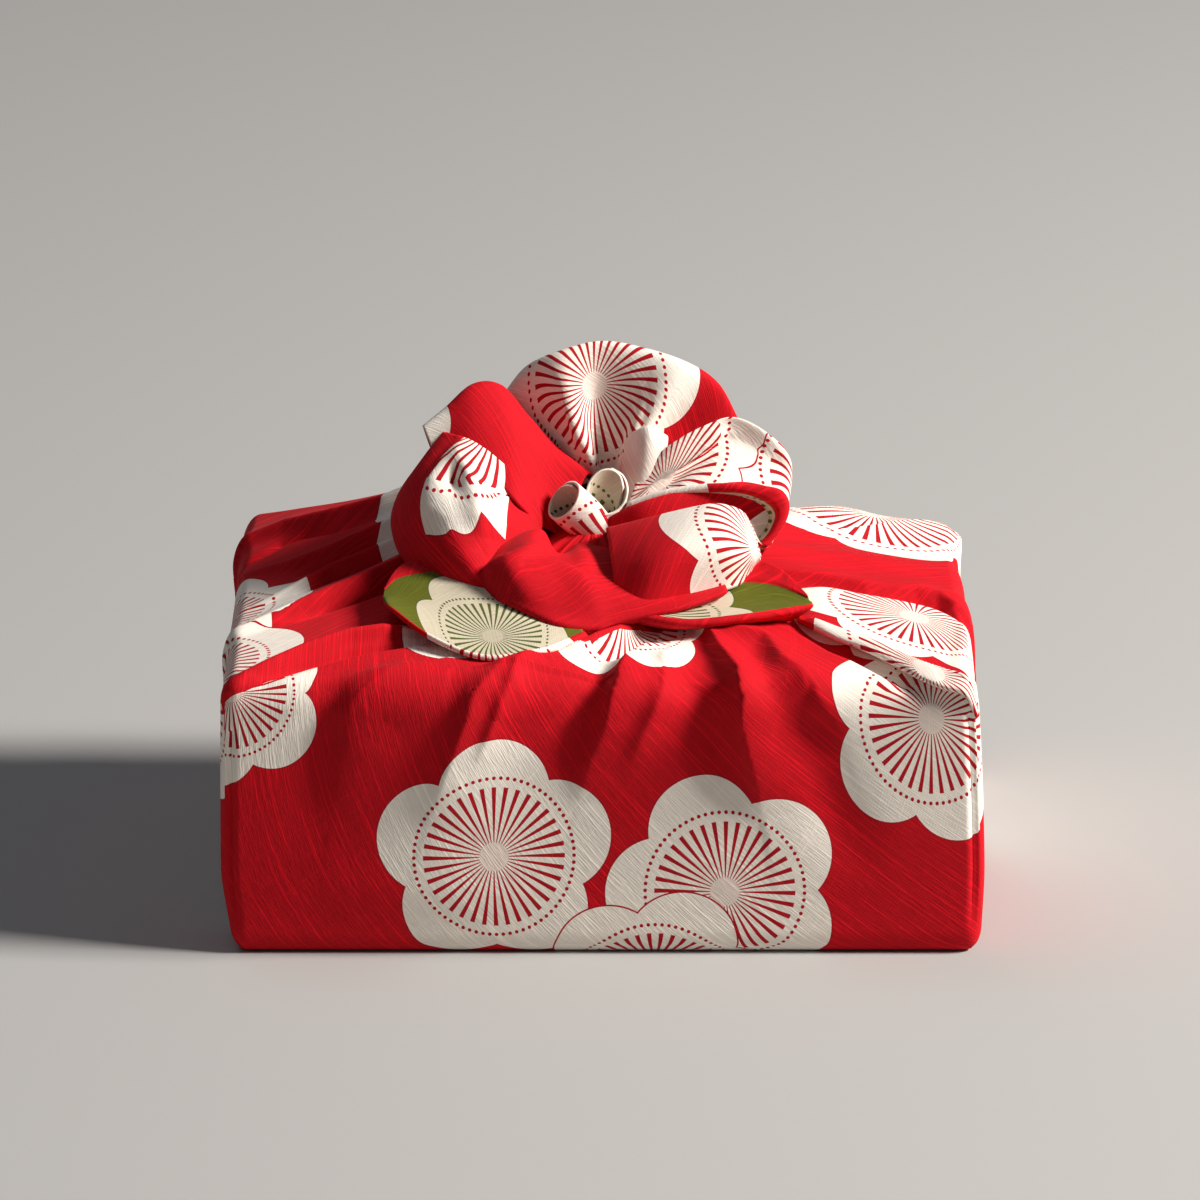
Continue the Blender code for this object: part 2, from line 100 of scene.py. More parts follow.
def linear(hex_colour: str) -> tuple[float, float, float, float]:
    """Turn an sRGB hex colour into linear values.

    Args:
        hex_colour: Six hex digits, with or without a leading #.

    Returns:
        Linear red, green and blue, and a full alpha.
    """
    digits = hex_colour.lstrip("#")
    channels = []
    # The standard's curve: a straight foot below 0.04045, and a power of 2.4 above it
    for start in (0, 2, 4):
        value = int(digits[start:start + 2], 16) / 255.0
        low = value / 12.92
        high = ((value + 0.055) / 1.055) ** 2.4
        channels.append(low if value <= 0.04045 else high)
    return (channels[0], channels[1], channels[2], 1.0)


def add_node(tree: bpy.types.NodeTree, kind: str, inputs: dict[Any, Any] | None = None,
             output: int | str = 0, **settings: Any) -> bpy.types.NodeSocket:
    """Add a node with its settings, its values and its links.

    Args:
        tree: The node tree that it goes into.
        kind: Blender's name for the node's type.
        inputs: Socket name or number to a value, or to the socket that feeds it.
        output: Name or number of the output that is wanted.
        **settings: The node's own properties.

    Returns:
        The output socket.
    """
    node = tree.nodes.new(kind)
    for name, value in settings.items():
        setattr(node, name, value)
    for socket, value in (inputs or {}).items():
        if isinstance(value, bpy.types.NodeSocket):
            tree.links.new(value, node.inputs[socket])
        else:
            node.inputs[socket].default_value = value
    return node.outputs[output]


def smoothstep(values: np.ndarray) -> np.ndarray:
    """Ease values from 0 to 1."""
    eased = np.clip(values, 0.0, 1.0)
    return eased * eased * (3.0 - 2.0 * eased)


def unit(vectors: np.ndarray) -> np.ndarray:
    """Scale vectors to length 1."""
    return vectors / np.maximum(np.linalg.norm(vectors, axis=-1, keepdims=True), 1e-9)


def face_corners(values: np.ndarray, order: tuple) -> np.ndarray:
    """Read a grid's values at the corners of its faces.

    Args:
        values: The values, with the grid's rows and columns as the first two axes.
        order: The corners of a face, as steps down and along the grid.

    Returns:
        Four values for each face, one face a row.
    """
    rows, columns = values.shape[0] - 1, values.shape[1] - 1
    corners = [values[down:down + rows, along:along + columns] for down, along in order]
    return np.stack(corners, axis=2).reshape(-1, 4, *values.shape[2:])


def to_tenths(place: Any) -> tuple:
    """A place with its numbers rounded to a tenth of a mm."""
    return tuple(round(float(value), 1) for value in place)


def spline_along(values: np.ndarray, shares: np.ndarray) -> np.ndarray:
    """Read a smooth curve through evenly spaced values at several shares of its length.

    Args:
        values: The values, one for each stop along the first axis.
        shares: Where to read, from 0 to 1.

    Returns:
        One value for each share along the first axis.
    """
    last = len(values) - 1
    places = np.clip(shares, 0.0, 1.0) * last
    index = np.minimum(places.astype(int), last - 1)
    t = (places - index).reshape((-1,) + (1,) * (values.ndim - 1))
    first, final = 2 * values[0] - values[1], 2 * values[-1] - values[-2]
    padded = np.concatenate([first[None], values, final[None]])
    before, here, there, after = (padded[index + step] for step in range(4))
    return 0.5 * (2 * here + (there - before) * t
                  + (2 * before - 5 * here + 4 * there - after) * t * t
                  + (3 * here - before - 3 * there + after) * t ** 3)


class Pleat(NamedTuple):
    """A fold in the cloth: its run, its height at each stop, and the width of its two flanks.

    A stop of the body's pleats is a place in mm, and one of two numbers lies on the top at the
    rim's height. A stop of a sheet's pleats is in shares of the sheet. Left and right are as seen
    by someone who walks along the run on the cloth. The power is 2 for a round fold and nearer
    to 1 for a sharp one.
    """

    run: tuple
    heights: tuple
    left: float
    right: float
    power: float = 2.0


def pleat_heights(pleat: Pleat, points: np.ndarray, normals: np.ndarray) -> np.ndarray:
    """How far one pleat lifts each point.

    Args:
        pleat: The pleat, its run in the points' own space.
        points: The points, one a row.
        normals: The surface normal at each point.

    Returns:
        The lift of each point, in mm.
    """
    nearest = np.full(len(points), np.inf)
    lift = np.zeros(len(points))
    stops = np.asarray(pleat.run, dtype=float)
    for leg in range(len(stops) - 1):
        run = stops[leg + 1] - stops[leg]
        along = np.clip((points - stops[leg]) @ run / (run @ run), 0.0, 1.0)
        away = points - (stops[leg] + along[:, None] * run)
        distance = np.linalg.norm(away, axis=1)
        side = np.einsum("ij,ij->i", np.cross(run, away), normals)
        width = np.where(side > 0.0, pleat.left, pleat.right)
        height = pleat.heights[leg] + (pleat.heights[leg + 1] - pleat.heights[leg]) * along
        closer = distance < nearest
        nearest = np.where(closer, distance, nearest)
        lift = np.where(closer, height * np.exp(-((distance / width) ** pleat.power)), lift)
    return lift


class Blossom(NamedTuple):
    """A printed plum blossom: its middle, its turn in degrees, and how far it lies stretched.

    The middle is in mm on a panel of the body, or in shares of a sheet of the knot. The later of
    two blossoms that overlap lies on top. A fold hides what lies to the right of its cuts, which
    are lines in the same coordinates.
    """

    across: float
    up: float
    turn: float = 0.0
    wide: float = 1.0
    tall: float = 1.0
    cuts: tuple = ()


def left_distance(line: tuple, places: np.ndarray) -> np.ndarray:
    """How far places lie to the left of a line of several legs.

    Args:
        line: The line's stops.
        places: Places in the same coordinates, in pairs along the last axis.

    Returns:
        The distance of each place, below zero on the right.
    """
    nearest = np.full(places.shape[:-1], np.inf)
    signed = np.zeros(places.shape[:-1])
    stops = np.asarray(line, dtype=float)
    for start, end in zip(stops[:-1], stops[1:]):
        run = end - start
        along = np.clip((places - start) @ run / (run @ run), 0.0, 1.0)
        away = places - (start + along[..., None] * run)
        distance = np.linalg.norm(away, axis=-1)
        side = np.where(run[0] * away[..., 1] - run[1] * away[..., 0] < 0.0, -1.0, 1.0)
        signed = np.where(distance < nearest, distance * side, signed)
        nearest = np.minimum(nearest, distance)
    return signed


def shown_print(blossom: Blossom, offsets: np.ndarray, places: np.ndarray, lines: tuple
                ) -> np.ndarray:
    """A blossom's own coordinates, and how far each place lies inside what its folds show.

    Args:
        blossom: The blossom.
        offsets: Offsets from its middle in mm, in pairs along the last axis.
        places: The places themselves, in the cut lines' coordinates.
        lines: Its cut lines.

    Returns:
        Three values for each place: above zero in the third, the print shows.
    """
    shown = np.full(places.shape[:-1], FAR_AWAY)
    for line in lines:
        shown = np.minimum(shown, left_distance(line, places))
    return np.concatenate([local_print(blossom, offsets), shown[..., None]], axis=-1)


def local_print(blossom: Blossom, offsets: np.ndarray) -> np.ndarray:
    """Turn offsets from a blossom's middle into its own coordinates.

    Args:
        blossom: The blossom.
        offsets: Offsets from its middle in mm, in pairs along the last axis.

    Returns:
        The same shape of array, in the blossom's own frame.
    """
    turn = math.radians(blossom.turn)
    u, v = offsets[..., 0] / blossom.wide, offsets[..., 1] / blossom.tall
    return np.stack([u * math.cos(turn) + v * math.sin(turn),
                     v * math.cos(turn) - u * math.sin(turn)], axis=-1)


@dataclass(frozen=True)
class PlumBlossomChart:
    """The repeat of the print, charted in mm: five round petals, a ring of dots, bars."""

    petals: int = 5
    petal_radius: float = 18.2
    petal_reach: float = 20.3
    middle_radius: float = 22.0
    bars: int = 36
    bar_start: float = 4.6
    bar_end: float = 22.4
    bar_thin: float = 0.14
    bar_thick: float = 0.74
    dots: int = 72
    dot_ring: float = 25.3
    dot_radius: float = 0.60
    outline: float = 0.55
    # The middle is stippled, which the eye takes for a slightly darker disc
    heart_ink: float = 0.16

    def edge_distance(self, places: np.ndarray) -> np.ndarray:
        """How far places in a blossom's own frame lie outside its petals, in mm."""
        reach = np.linalg.norm(places, axis=-1)
        sector = math.tau / self.petals
        angle = np.arctan2(places[..., 1], places[..., 0]) - math.pi / 2 + sector / 2
        turn = np.mod(angle, sector) - sector / 2
        petal = np.hypot(reach * np.cos(turn) - self.petal_reach, reach * np.sin(turn))
        return np.minimum(petal - self.petal_radius, reach - self.middle_radius)

    def node_group(self) -> bpy.types.NodeTree:
        """Build the node group that draws one blossom.

        Returns:
            A group with the inputs Place, Shown, Ground, Petal and Ink, and two outputs.
        """
        tree = bpy.data.node_groups.new("plum_blossom", "ShaderNodeTree")
        tree.interface.new_socket("Place", in_out="INPUT", socket_type="NodeSocketVector")
        tree.interface.new_socket("Shown", in_out="INPUT", socket_type="NodeSocketFloat")
        for name in ("Ground", "Petal", "Ink"):
            tree.interface.new_socket(name, in_out="INPUT", socket_type="NodeSocketColor")
        tree.interface.new_socket("Colour", in_out="OUTPUT", socket_type="NodeSocketColor")
        tree.interface.new_socket("Printed", in_out="OUTPUT", socket_type="NodeSocketFloat")
        entry = tree.nodes.new("NodeGroupInput")
        place = entry.outputs["Place"]
        flat = add_node(tree, "ShaderNodeSeparateXYZ", {0: place}, "X")
        rise = flat.node.outputs["Y"]
        reach = add_node(tree, VECTOR_MATH, {0: place}, "Value", operation="LENGTH")
        angle = add_node(tree, MATH, {0: rise, 1: flat}, operation="ARCTAN2")

        # One petal, repeated round the middle
        half_turn = math.pi / self.petals
        shifted = add_node(tree, MATH, {0: angle, 1: -math.pi / 2}, operation="ADD")
        turn = add_node(tree, MATH, {0: shifted, 1: half_turn, 2: -half_turn},
                        operation="WRAP")
        petal_edge = self._ring_distance(tree, reach, turn, self.petal_reach)
        petal_edge = add_node(tree, MATH, {0: petal_edge, 1: self.petal_radius},
                              operation="SUBTRACT")
        middle_edge = add_node(tree, MATH, {0: reach, 1: self.middle_radius},
                               operation="SUBTRACT")
        edge = add_node(tree, MATH, {0: petal_edge, 1: middle_edge}, operation="MINIMUM")
        inside = add_node(tree, MATH, {0: edge, 1: 0.0}, operation="LESS_THAN")
        shown = add_node(tree, MATH, {0: entry.outputs["Shown"], 1: 0.0},
                         operation="GREATER_THAN")
        inside = add_node(tree, MATH, {0: inside, 1: shown}, operation="MULTIPLY")
        outline = add_node(tree, MATH, {0: edge, 1: -self.outline},
                           operation="GREATER_THAN")

        # The bars: thin at the middle, thick at their square outer ends
        half_bar = math.pi / self.bars
        bar_turn = add_node(tree, MATH, {0: angle, 1: half_bar, 2: -half_bar},
                            operation="WRAP")
        sine = add_node(tree, MATH, {0: bar_turn}, operation="SINE")
        aside = add_node(tree, MATH, {0: sine, 1: reach}, operation="MULTIPLY")
        aside = add_node(tree, MATH, {0: aside}, operation="ABSOLUTE")
        thickness = add_node(tree, MAP_RANGE,
                             {0: reach, 1: self.bar_start, 2: self.bar_end,
                              3: self.bar_thin, 4: self.bar_thick})
        bar = add_node(tree, MATH, {0: aside, 1: thickness}, operation="LESS_THAN")
        beyond = add_node(tree, MATH, {0: reach, 1: self.bar_start},
                          operation="GREATER_THAN")
        before = add_node(tree, MATH, {0: reach, 1: self.bar_end}, operation="LESS_THAN")
        bar = add_node(tree, MATH, {0: bar, 1: beyond}, operation="MULTIPLY")
        bar = add_node(tree, MATH, {0: bar, 1: before}, operation="MULTIPLY")

        # The ring of dots
        half_dot = math.pi / self.dots
        dot_turn = add_node(tree, MATH, {0: angle, 1: half_dot, 2: -half_dot},
                            operation="WRAP")
        dot_edge = self._ring_distance(tree, reach, dot_turn, self.dot_ring)
        dot = add_node(tree, MATH, {0: dot_edge, 1: self.dot_radius},
                       operation="LESS_THAN")

        # The stippled middle
        heart = add_node(tree, MATH, {0: reach, 1: self.bar_start}, operation="LESS_THAN")
        heart = add_node(tree, MATH, {0: heart, 1: self.heart_ink}, operation="MULTIPLY")

        ink = add_node(tree, MATH, {0: bar, 1: dot}, operation="MAXIMUM")
        ink = add_node(tree, MATH, {0: ink, 1: outline}, operation="MAXIMUM")
        ink = add_node(tree, MATH, {0: ink, 1: heart}, operation="MAXIMUM")
        printed = add_node(tree, "ShaderNodeMix",
                           {0: ink, 6: entry.outputs["Petal"], 7: entry.outputs["Ink"]},
                           2, data_type="RGBA")
        colour = add_node(tree, "ShaderNodeMix",
                          {0: inside, 6: entry.outputs["Ground"], 7: printed},
                          2, data_type="RGBA")
        leave = tree.nodes.new("NodeGroupOutput")
        tree.links.new(colour, leave.inputs["Colour"])
        tree.links.new(inside, leave.inputs["Printed"])
        return tree

    def _ring_distance(self, tree: bpy.types.NodeTree, reach: bpy.types.NodeSocket,
                       turn: bpy.types.NodeSocket, ring: float) -> bpy.types.NodeSocket:
        """Distance from the nearest of the circles that stand on a ring.

        Args:
            tree: The node tree.
            reach: Distance from the blossom's middle.
            turn: Angle from the nearest circle's own direction.
            ring: Radius of the ring that the circles stand on, in mm.

        Returns:
            The distance from that circle's middle, in mm.
        """
        cosine = add_node(tree, MATH, {0: turn}, operation="COSINE")
        sine = add_node(tree, MATH, {0: turn}, operation="SINE")
        out = add_node(tree, MATH, {0: reach, 1: cosine, 2: -ring},
                       operation="MULTIPLY_ADD")
        aside = add_node(tree, MATH, {0: reach, 1: sine}, operation="MULTIPLY")
        both = add_node(tree, "ShaderNodeCombineXYZ", {0: out, 1: aside})
        return add_node(tree, VECTOR_MATH, {0: both}, "Value", operation="LENGTH")


@dataclass(frozen=True)
class PrintedSlubCotton:
    """Plain-woven slub cotton, screen printed on one side and piece dyed on the other.

    Slub yarn is spun thick and thin, so the eye meets fine broken lines along one thread
    direction on an otherwise dull, soft surface with a faint bloom of loose fibres.
    """

    name: str
    ground: str
    petal: str
    ink: str
    roughness: float = 0.82
    sheen: float = 0.015
    shine: float = 0.20
    sheen_roughness: float = 0.45

    # The yarns lie 0.45 mm apart, too fine to show here, so they are drawn at 0.9 mm
    yarn_pitch: float = 0.9
    # How slowly a yarn's thickness changes along it, and how much the thin cross yarns show
    yarn_stretch: float = 0.09
    cross_yarn: float = 0.12
    yarn_range: tuple[float, float] = (0.34, 0.66)
    # A slub is 20 to 60 mm long and stands every 1 to 3 mm
    slub_length: float = 62.0
    slub_pitch: float = 1.0
    slub_range: tuple[float, float] = (0.54, 0.74)
    # The slubs of the cross yarns are rarer, longer and fainter
    cross_range: tuple[float, float] = (0.60, 0.86)
    cross_stretch: float = 0.6
    cross_strength: float = 0.45
    # A slub takes less dye and is lighter, and the yarns between are a little darker
    slub_lift: float = 0.50
    slub_shade: float = 0.16
    # Painted shade: the colour is darker in the valleys between yarns and lighter on their crests,
    # as the relief would shade them
    valley_painted_shade: float = 0.93
    crest: float = 0.14
    # A printed petal hides this share of the tints
    print_cover: float = 0.62
    # A slub stands this much higher than a yarn, and a yarn's relief is in metres
    slub_height: float = 1.1
    relief: float = 0.0004
    bump_depth: float = 0.20

    def material(self, blossom: bpy.types.NodeTree) -> bpy.types.Material:
        """Build the material.

        Args:
            blossom: The node group that draws one blossom.

        Returns:
            The finished material.
        """
        material = bpy.data.materials.new(self.name)
        material.use_nodes = True
        tree = material.node_tree
        shader = tree.nodes["Principled BSDF"]
        colour, printed = self._printed_colour(tree, blossom)
        yarn_place = add_node(tree, "ShaderNodeUVMap", uv_map="weave")
        slubs = self._slubs(tree, yarn_place)
        weave = self._weave(tree, yarn_place)
        tint = add_node(tree, MAP_RANGE,
                        {0: slubs, 1: 0.0, 2: 1.0,
                         3: 1.0 - self.slub_lift * self.slub_shade, 4: 1.0 + self.slub_lift})
        # Painted shade and light: the weave's valleys darken the colour and its crests lighten it
        shade = add_node(tree, MATH, {0: weave, 1: self.crest, 2: self.valley_painted_shade},
                         operation="MULTIPLY_ADD")
        tint = add_node(tree, MATH, {0: tint, 1: shade}, operation="MULTIPLY")
        # The thick ink of the pale petals shows the slubs less than the dyed ground
        calm = add_node(tree, MATH, {0: printed, 1: -self.print_cover, 2: 1.0},
                        operation="MULTIPLY_ADD")
        even = add_node(tree, MATH, {0: tint, 1: -1.0}, operation="ADD")
        tint = add_node(tree, MATH, {0: even, 1: calm, 2: 1.0},
                        operation="MULTIPLY_ADD")
        finished = add_node(tree, VECTOR_MATH, {0: colour, "Scale": tint},
                            operation="SCALE")
        tree.links.new(finished, shader.inputs["Base Color"])
        relief = add_node(tree, MATH, {0: slubs, 1: self.slub_height, 2: weave},
                          operation="MULTIPLY_ADD")
        bump = add_node(tree, "ShaderNodeBump",
                        {"Height": relief, "Strength": self.bump_depth,
                         "Distance": self.relief})
        tree.links.new(bump, shader.inputs["Normal"])
        shader.inputs["Roughness"].default_value = self.roughness
        shader.inputs["Metallic"].default_value = 0.0
        shader.inputs["IOR"].default_value = 1.5
        shader.inputs["Specular IOR Level"].default_value = self.shine
        shader.inputs["Sheen Weight"].default_value = self.sheen
        shader.inputs["Sheen Roughness"].default_value = self.sheen_roughness
        return material

    def _printed_colour(self, tree: bpy.types.NodeTree, blossom: bpy.types.NodeTree
                        ) -> tuple[bpy.types.NodeSocket, bpy.types.NodeSocket]:
        """Lay the lower and then the upper blossom over the ground.

        Args:
            tree: The material's node tree.
            blossom: The node group that draws one blossom.

        Returns:
            The colour, and 1 where a blossom is printed.
        """
        ground: Any = linear(self.ground)
        outputs = []
        cuts = add_node(tree, "ShaderNodeUVMap", uv_map="print_shown")
        cuts = add_node(tree, "ShaderNodeSeparateXYZ", {0: cuts}, "X")
        for layer, axis in (("print_lower", "X"), ("print_upper", "Y")):
            place = add_node(tree, "ShaderNodeUVMap", uv_map=layer)
            inputs = {"Place": place, "Shown": cuts.node.outputs[axis], "Ground": ground,
                      "Petal": linear(self.petal), "Ink": linear(self.ink)}
            ground = add_node(tree, "ShaderNodeGroup", inputs, "Colour", node_tree=blossom)
            outputs.append(ground.node.outputs["Printed"])
        printed = add_node(tree, MATH, {0: outputs[0], 1: outputs[1]},
                           operation="MAXIMUM")
        return ground, printed

    def _slubs(self, tree: bpy.types.NodeTree, place: bpy.types.NodeSocket
               ) -> bpy.types.NodeSocket:
        """Broken lines along one thread direction, and fainter ones across it."""
        stretch = (1.0 / self.slub_length, 1.0 / self.slub_pitch, 1.0)
        lines = add_node(tree, VECTOR_MATH, {0: place, 1: stretch},
                         operation="MULTIPLY")
        lines = add_node(tree, NOISE,
                         {"Vector": lines, "Scale": 1.0, "Detail": 2.0, "Roughness": 0.55},
                         noise_dimensions="2D")
        low, high = self.slub_range
        lines = add_node(tree, MAP_RANGE, {0: lines, 1: low, 2: high})
        stretch = (1.0 / self.slub_pitch, self.cross_stretch / self.slub_length, 1.0)
        cross = add_node(tree, VECTOR_MATH, {0: place, 1: stretch},
                         operation="MULTIPLY")
        cross = add_node(tree, NOISE,
                         {"Vector": cross, "Scale": 1.0, "Detail": 2.0, "Roughness": 0.5},
                         noise_dimensions="2D")
        low, high = self.cross_range
        cross = add_node(tree, MAP_RANGE, {0: cross, 1: low, 2: high, 4: self.cross_strength})
        return add_node(tree, MATH, {0: lines, 1: cross}, operation="MAXIMUM")

    def _weave(self, tree: bpy.types.NodeTree, place: bpy.types.NodeSocket
               ) -> bpy.types.NodeSocket:
        """Relief of the yarns, from 0 to 1: thick ones along, which bury the thin ones across. It
        feeds the bump, and also the painted shade of the weave in the colour.
        """
        stretch = (self.yarn_stretch, 1.0 / self.yarn_pitch, 1.0)
        fine = add_node(tree, VECTOR_MATH, {0: place, 1: stretch}, operation="MULTIPLY")
        along = add_node(tree, NOISE,
                         {"Vector": fine, "Scale": 2.0, "Detail": 1.0, "Roughness": 0.4},
                         noise_dimensions="2D")
        turned = add_node(tree, VECTOR_MATH,
                          {0: place, "Scale": math.tau / self.yarn_pitch}, operation="SCALE")
        step = add_node(tree, "ShaderNodeSeparateXYZ", {0: turned}, "X")
        across = add_node(tree, MATH, {0: step}, operation="SINE")
        low, high = self.yarn_range
        along = add_node(tree, MAP_RANGE, {0: along, 1: low, 2: high})
        return add_node(tree, MATH, {0: across, 1: self.cross_yarn, 2: along},
                        operation="MULTIPLY_ADD")


class Cloth:
    """Turns grids of points into pieces of printed cloth."""

    def __init__(self) -> None:
        """Make the chart and the two finishes of the cloth."""
        self.chart = PlumBlossomChart()
        group = self.chart.node_group()
        # Screen printed face: red ground between cream blossoms that are drawn in red lines
        face = PrintedSlubCotton("slub_cotton_face", "#C60317", "#F4EBDF", "#B00A1B")
        # Piece dyed reverse: olive ground between beige blossoms that are drawn in olive lines
        reverse = PrintedSlubCotton("slub_cotton_reverse", "#5E6216", "#CFC4AC", "#525E26",
                                    slub_lift=0.22)
        self.materials = [face.material(group), reverse.material(group)]

    def printed_layers(self, blossoms: list[np.ndarray], faces: int) -> np.ndarray:
        """Choose the two topmost blossoms that touch each face.

        Args:
            blossoms: For each blossom, lowest first, its shown print at each face's corners.
            faces: How many faces there are.

        Returns:
            The shown print of the upper and of the lower blossom at each face's corners.
        """
        layers = np.full((2, faces, 4, 3), FAR_AWAY)
        for corners in blossoms:
            touches = self.chart.edge_distance(corners[..., :2]).min(axis=1) < 0.0
            touches &= corners[..., 2].max(axis=1) > 0.0
            layers[1][touches] = layers[0][touches]
            layers[0][touches] = corners[touches]
        return layers

    def print_maps(self, layers: np.ndarray) -> dict[str, np.ndarray]:
        """The maps that hold two layers of print."""
        upper, lower = layers
        shown = np.stack([lower[..., 2], upper[..., 2]], axis=-1)
        return {"print_upper": upper[..., :2], "print_lower": lower[..., :2],
                "print_shown": shown}

    def piece(self, name: str, vertices: np.ndarray, faces: np.ndarray,
              maps: dict[str, np.ndarray], slots: np.ndarray | None = None
              ) -> bpy.types.Object:
        """Make one piece of cloth.

        Args:
            name: The piece's name.
            vertices: Points in mm, in the tables' frame.
            faces: Four vertex numbers a face.
            maps: Coordinates in mm of each face's corners, for each map.
            slots: Each face's side of the cloth, as a material slot.

        Returns:
            The object, which already rides on the frame.
        """
        mesh = bpy.data.meshes.new(name)
        mesh.from_pydata(((vertices + CENTRED_BY) * MM).tolist(), [], faces.tolist())
        for map_name, corners in maps.items():
            layer = mesh.uv_layers.new(name=map_name)
            layer.data.foreach_set("uv", corners.reshape(-1).astype(np.float32))
        for material in self.materials:
            mesh.materials.append(material)
        if slots is not None:
            mesh.polygons.foreach_set("material_index", slots.astype(np.int32))
        mesh.shade_smooth()
        mesh.update()
        obj = bpy.data.objects.new(name, mesh)
        bpy.context.scene.collection.objects.link(obj)
        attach(obj, BODY)
        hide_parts(CLOTH_NODE)
        return obj


@dataclass
class WrappedBody:
    """The cloth round the box: under it, up its sides and over its top to the knot's neck."""

    width: float = 242.0
    depth: float = 174.0
    rim_height: float = 90.0
    edge_radius: float = 5.0
    top_radius: float = 8.0
    foot_radius: float = 8.0
    left_lean: float = 1.0
    right_lean: float = 3.5
    # How far the cloth draws in at the floor, at either end, and up to which height
    left_draw: float = 3.0
    right_draw: float = 1.2
    draw_height: float = 30.0
    corner_droop: float = 4.5
    droop_reach: float = 70.0
    # The folds fade in over the floor: where they start, and how far up they are whole
    fold_start: float = 4.0
    fold_rise: float = 20.0
    neck_radius: float = 30.0
    opening_radius: float = 22.0
    # The rise to the knot starts this far below the rim
    tent_blend: float = 6.0
    # Height of the thread fan's point over the floor: the threads of a side run together there,
    # and they lie side by side again from this far below it
    fan_height: float = 240.0
    fan_least: float = 60.0
    cell: float = 1.0
    side_rows: int = 60
    # Closer steps round the edges: in from a corner, up from the floor and down from the rim
    corner_steps: tuple[float, ...] = (0.0, 1.4, 2.8, 4.0)
    foot_steps: tuple[float, ...] = (0.0, 1.0, 2.2, 3.6, 5.2, 6.8)
    rim_steps: tuple[float, ...] = (6.6, 5.2, 4.0, 2.8, 1.7, 0.8, 0.0)
    # Rows under the box, as shares of the way out from its middle, and where the pieces meet
    under_shares: tuple[float, ...] = (0.004, 0.3, 0.6, 0.8, 0.9, 0.95, 0.975)
    meeting_share: float = 0.9
    # The pieces' widths and lengths in metres, laid flat
    sides_flat: tuple[float, float] = (0.84, 0.105)
    top_flat: tuple[float, float] = (0.27, 0.20)
    # Rows over the top, a little closer near the rim, and rows of the wall above the meeting
    top_rows: int = 106
    top_crowding: float = 1.15
    rim_rows: int = 9
    # How far the cloth rises to the knot's neck, by the heading from it in degrees
    neck_rises: tuple = (
        (-180.0, 24.0), (-160.0, 15.0), (-135.0, 9.0), (-90.0, 9.0), (-40.0, 9.0),
        (0.0, 14.0), (45.0, 20.0), (90.0, 25.0), (135.0, 38.0), (180.0, 24.0),
    )
    pleats: tuple = field(default_factory=lambda: BODY_PLEATS)
    blossoms: dict = field(default_factory=lambda: BODY_BLOSSOMS)

    def build(self, cloth: Cloth) -> list[bpy.types.Object]:
        """Build and dress the body.

        Args:
            cloth: The printed cloth.

        Returns:
            The cloth on the sides, on the top and under the box.
        """
        columns = self._columns()
        plain = self._plain_rows(columns)
        points = self._shape(plain.reshape(-1, 3)).reshape(plain.shape)
        # The skin is made in three pieces: they meet under the box and just below the rim
        low = self.under_shares.index(self.meeting_share)
        high = len(plain) - self.top_rows - self.rim_rows
        cuts = {"wrapped_sides": slice(low, high + 1), "wrapped_top": slice(high, None),
                "cloth_underneath": slice(0, low + 1)}
        sides, top, under = (self._skin(cloth, name, columns, plain[rows], points[rows])
                             for name, rows in cuts.items())
        return [sides, top, under]

    def _skin(self, cloth: Cloth, name: str, columns: dict[Panel, np.ndarray],
              plain: np.ndarray, points: np.ndarray) -> bpy.types.Object:
        """Make a piece from some rows of the skin.

        Args:
            cloth: The printed cloth.
            name: The piece's name.
            columns: Places of the columns along each side.
            plain: The rows on the plain block, which the print and the threads follow.
            points: The same rows on the cloth.

        Returns:
            The piece.
        """
        rows, count = plain.shape[:2]
        index = np.arange(rows * count).reshape(rows, count)
        ring = np.concatenate([index, index[:, :1]], axis=1)
        faces, layers, threads = [], [], []
        start = 0
        for panel, places in columns.items():
            grid = ring[:, start:start + len(places) + 1]
            start += len(places)
            faces.append(face_corners(grid, SKIN_ORDER))
            flat = self._panel_places(panel, plain, grid)
            corners = face_corners(flat, SKIN_ORDER)
            printed = [shown_print(row, corners - (row.across, row.up), corners, row.cuts)
                       for row in self.blossoms[panel]]
            layers.append(cloth.printed_layers(printed, len(corners)))
            threads.append(face_corners(self._thread_places(flat), SKIN_ORDER))
        maps = cloth.print_maps(np.concatenate(layers, axis=1))
        maps["weave"] = np.concatenate(threads)
        return cloth.piece(name, points.reshape(-1, 3), np.concatenate(faces), maps)

    def _columns(self) -> dict[Panel, np.ndarray]:
        """Places of the columns along each side, without its last corner."""
        halves = {Panel.FRONT: self.width / 2, Panel.RIGHT: self.depth / 2,
                  Panel.BACK: self.width / 2, Panel.LEFT: self.depth / 2}
        columns = {}
        for panel, half in halves.items():
            inner = half - self.edge_radius
            count = round(2 * inner / self.cell)
            edge = half - np.array(self.corner_steps)
            middle = np.linspace(-inner, inner, count + 1)
            columns[panel] = np.concatenate([-edge, middle, edge[:0:-1]])
        return columns

    def _rim_point(self, panel: Panel, places: np.ndarray) -> np.ndarray:
        """Places along a side of the plain block as x and y."""
        half_x, half_y = self.width / 2, self.depth / 2
        still = np.ones_like(places)
        pairs = {
            Panel.FRONT: (places, -half_y * still),
            Panel.RIGHT: (half_x * still, places),
            Panel.BACK: (-places, half_y * still),
            Panel.LEFT: (-half_x * still, -places),
        }
        return np.stack(pairs[panel], axis=1)

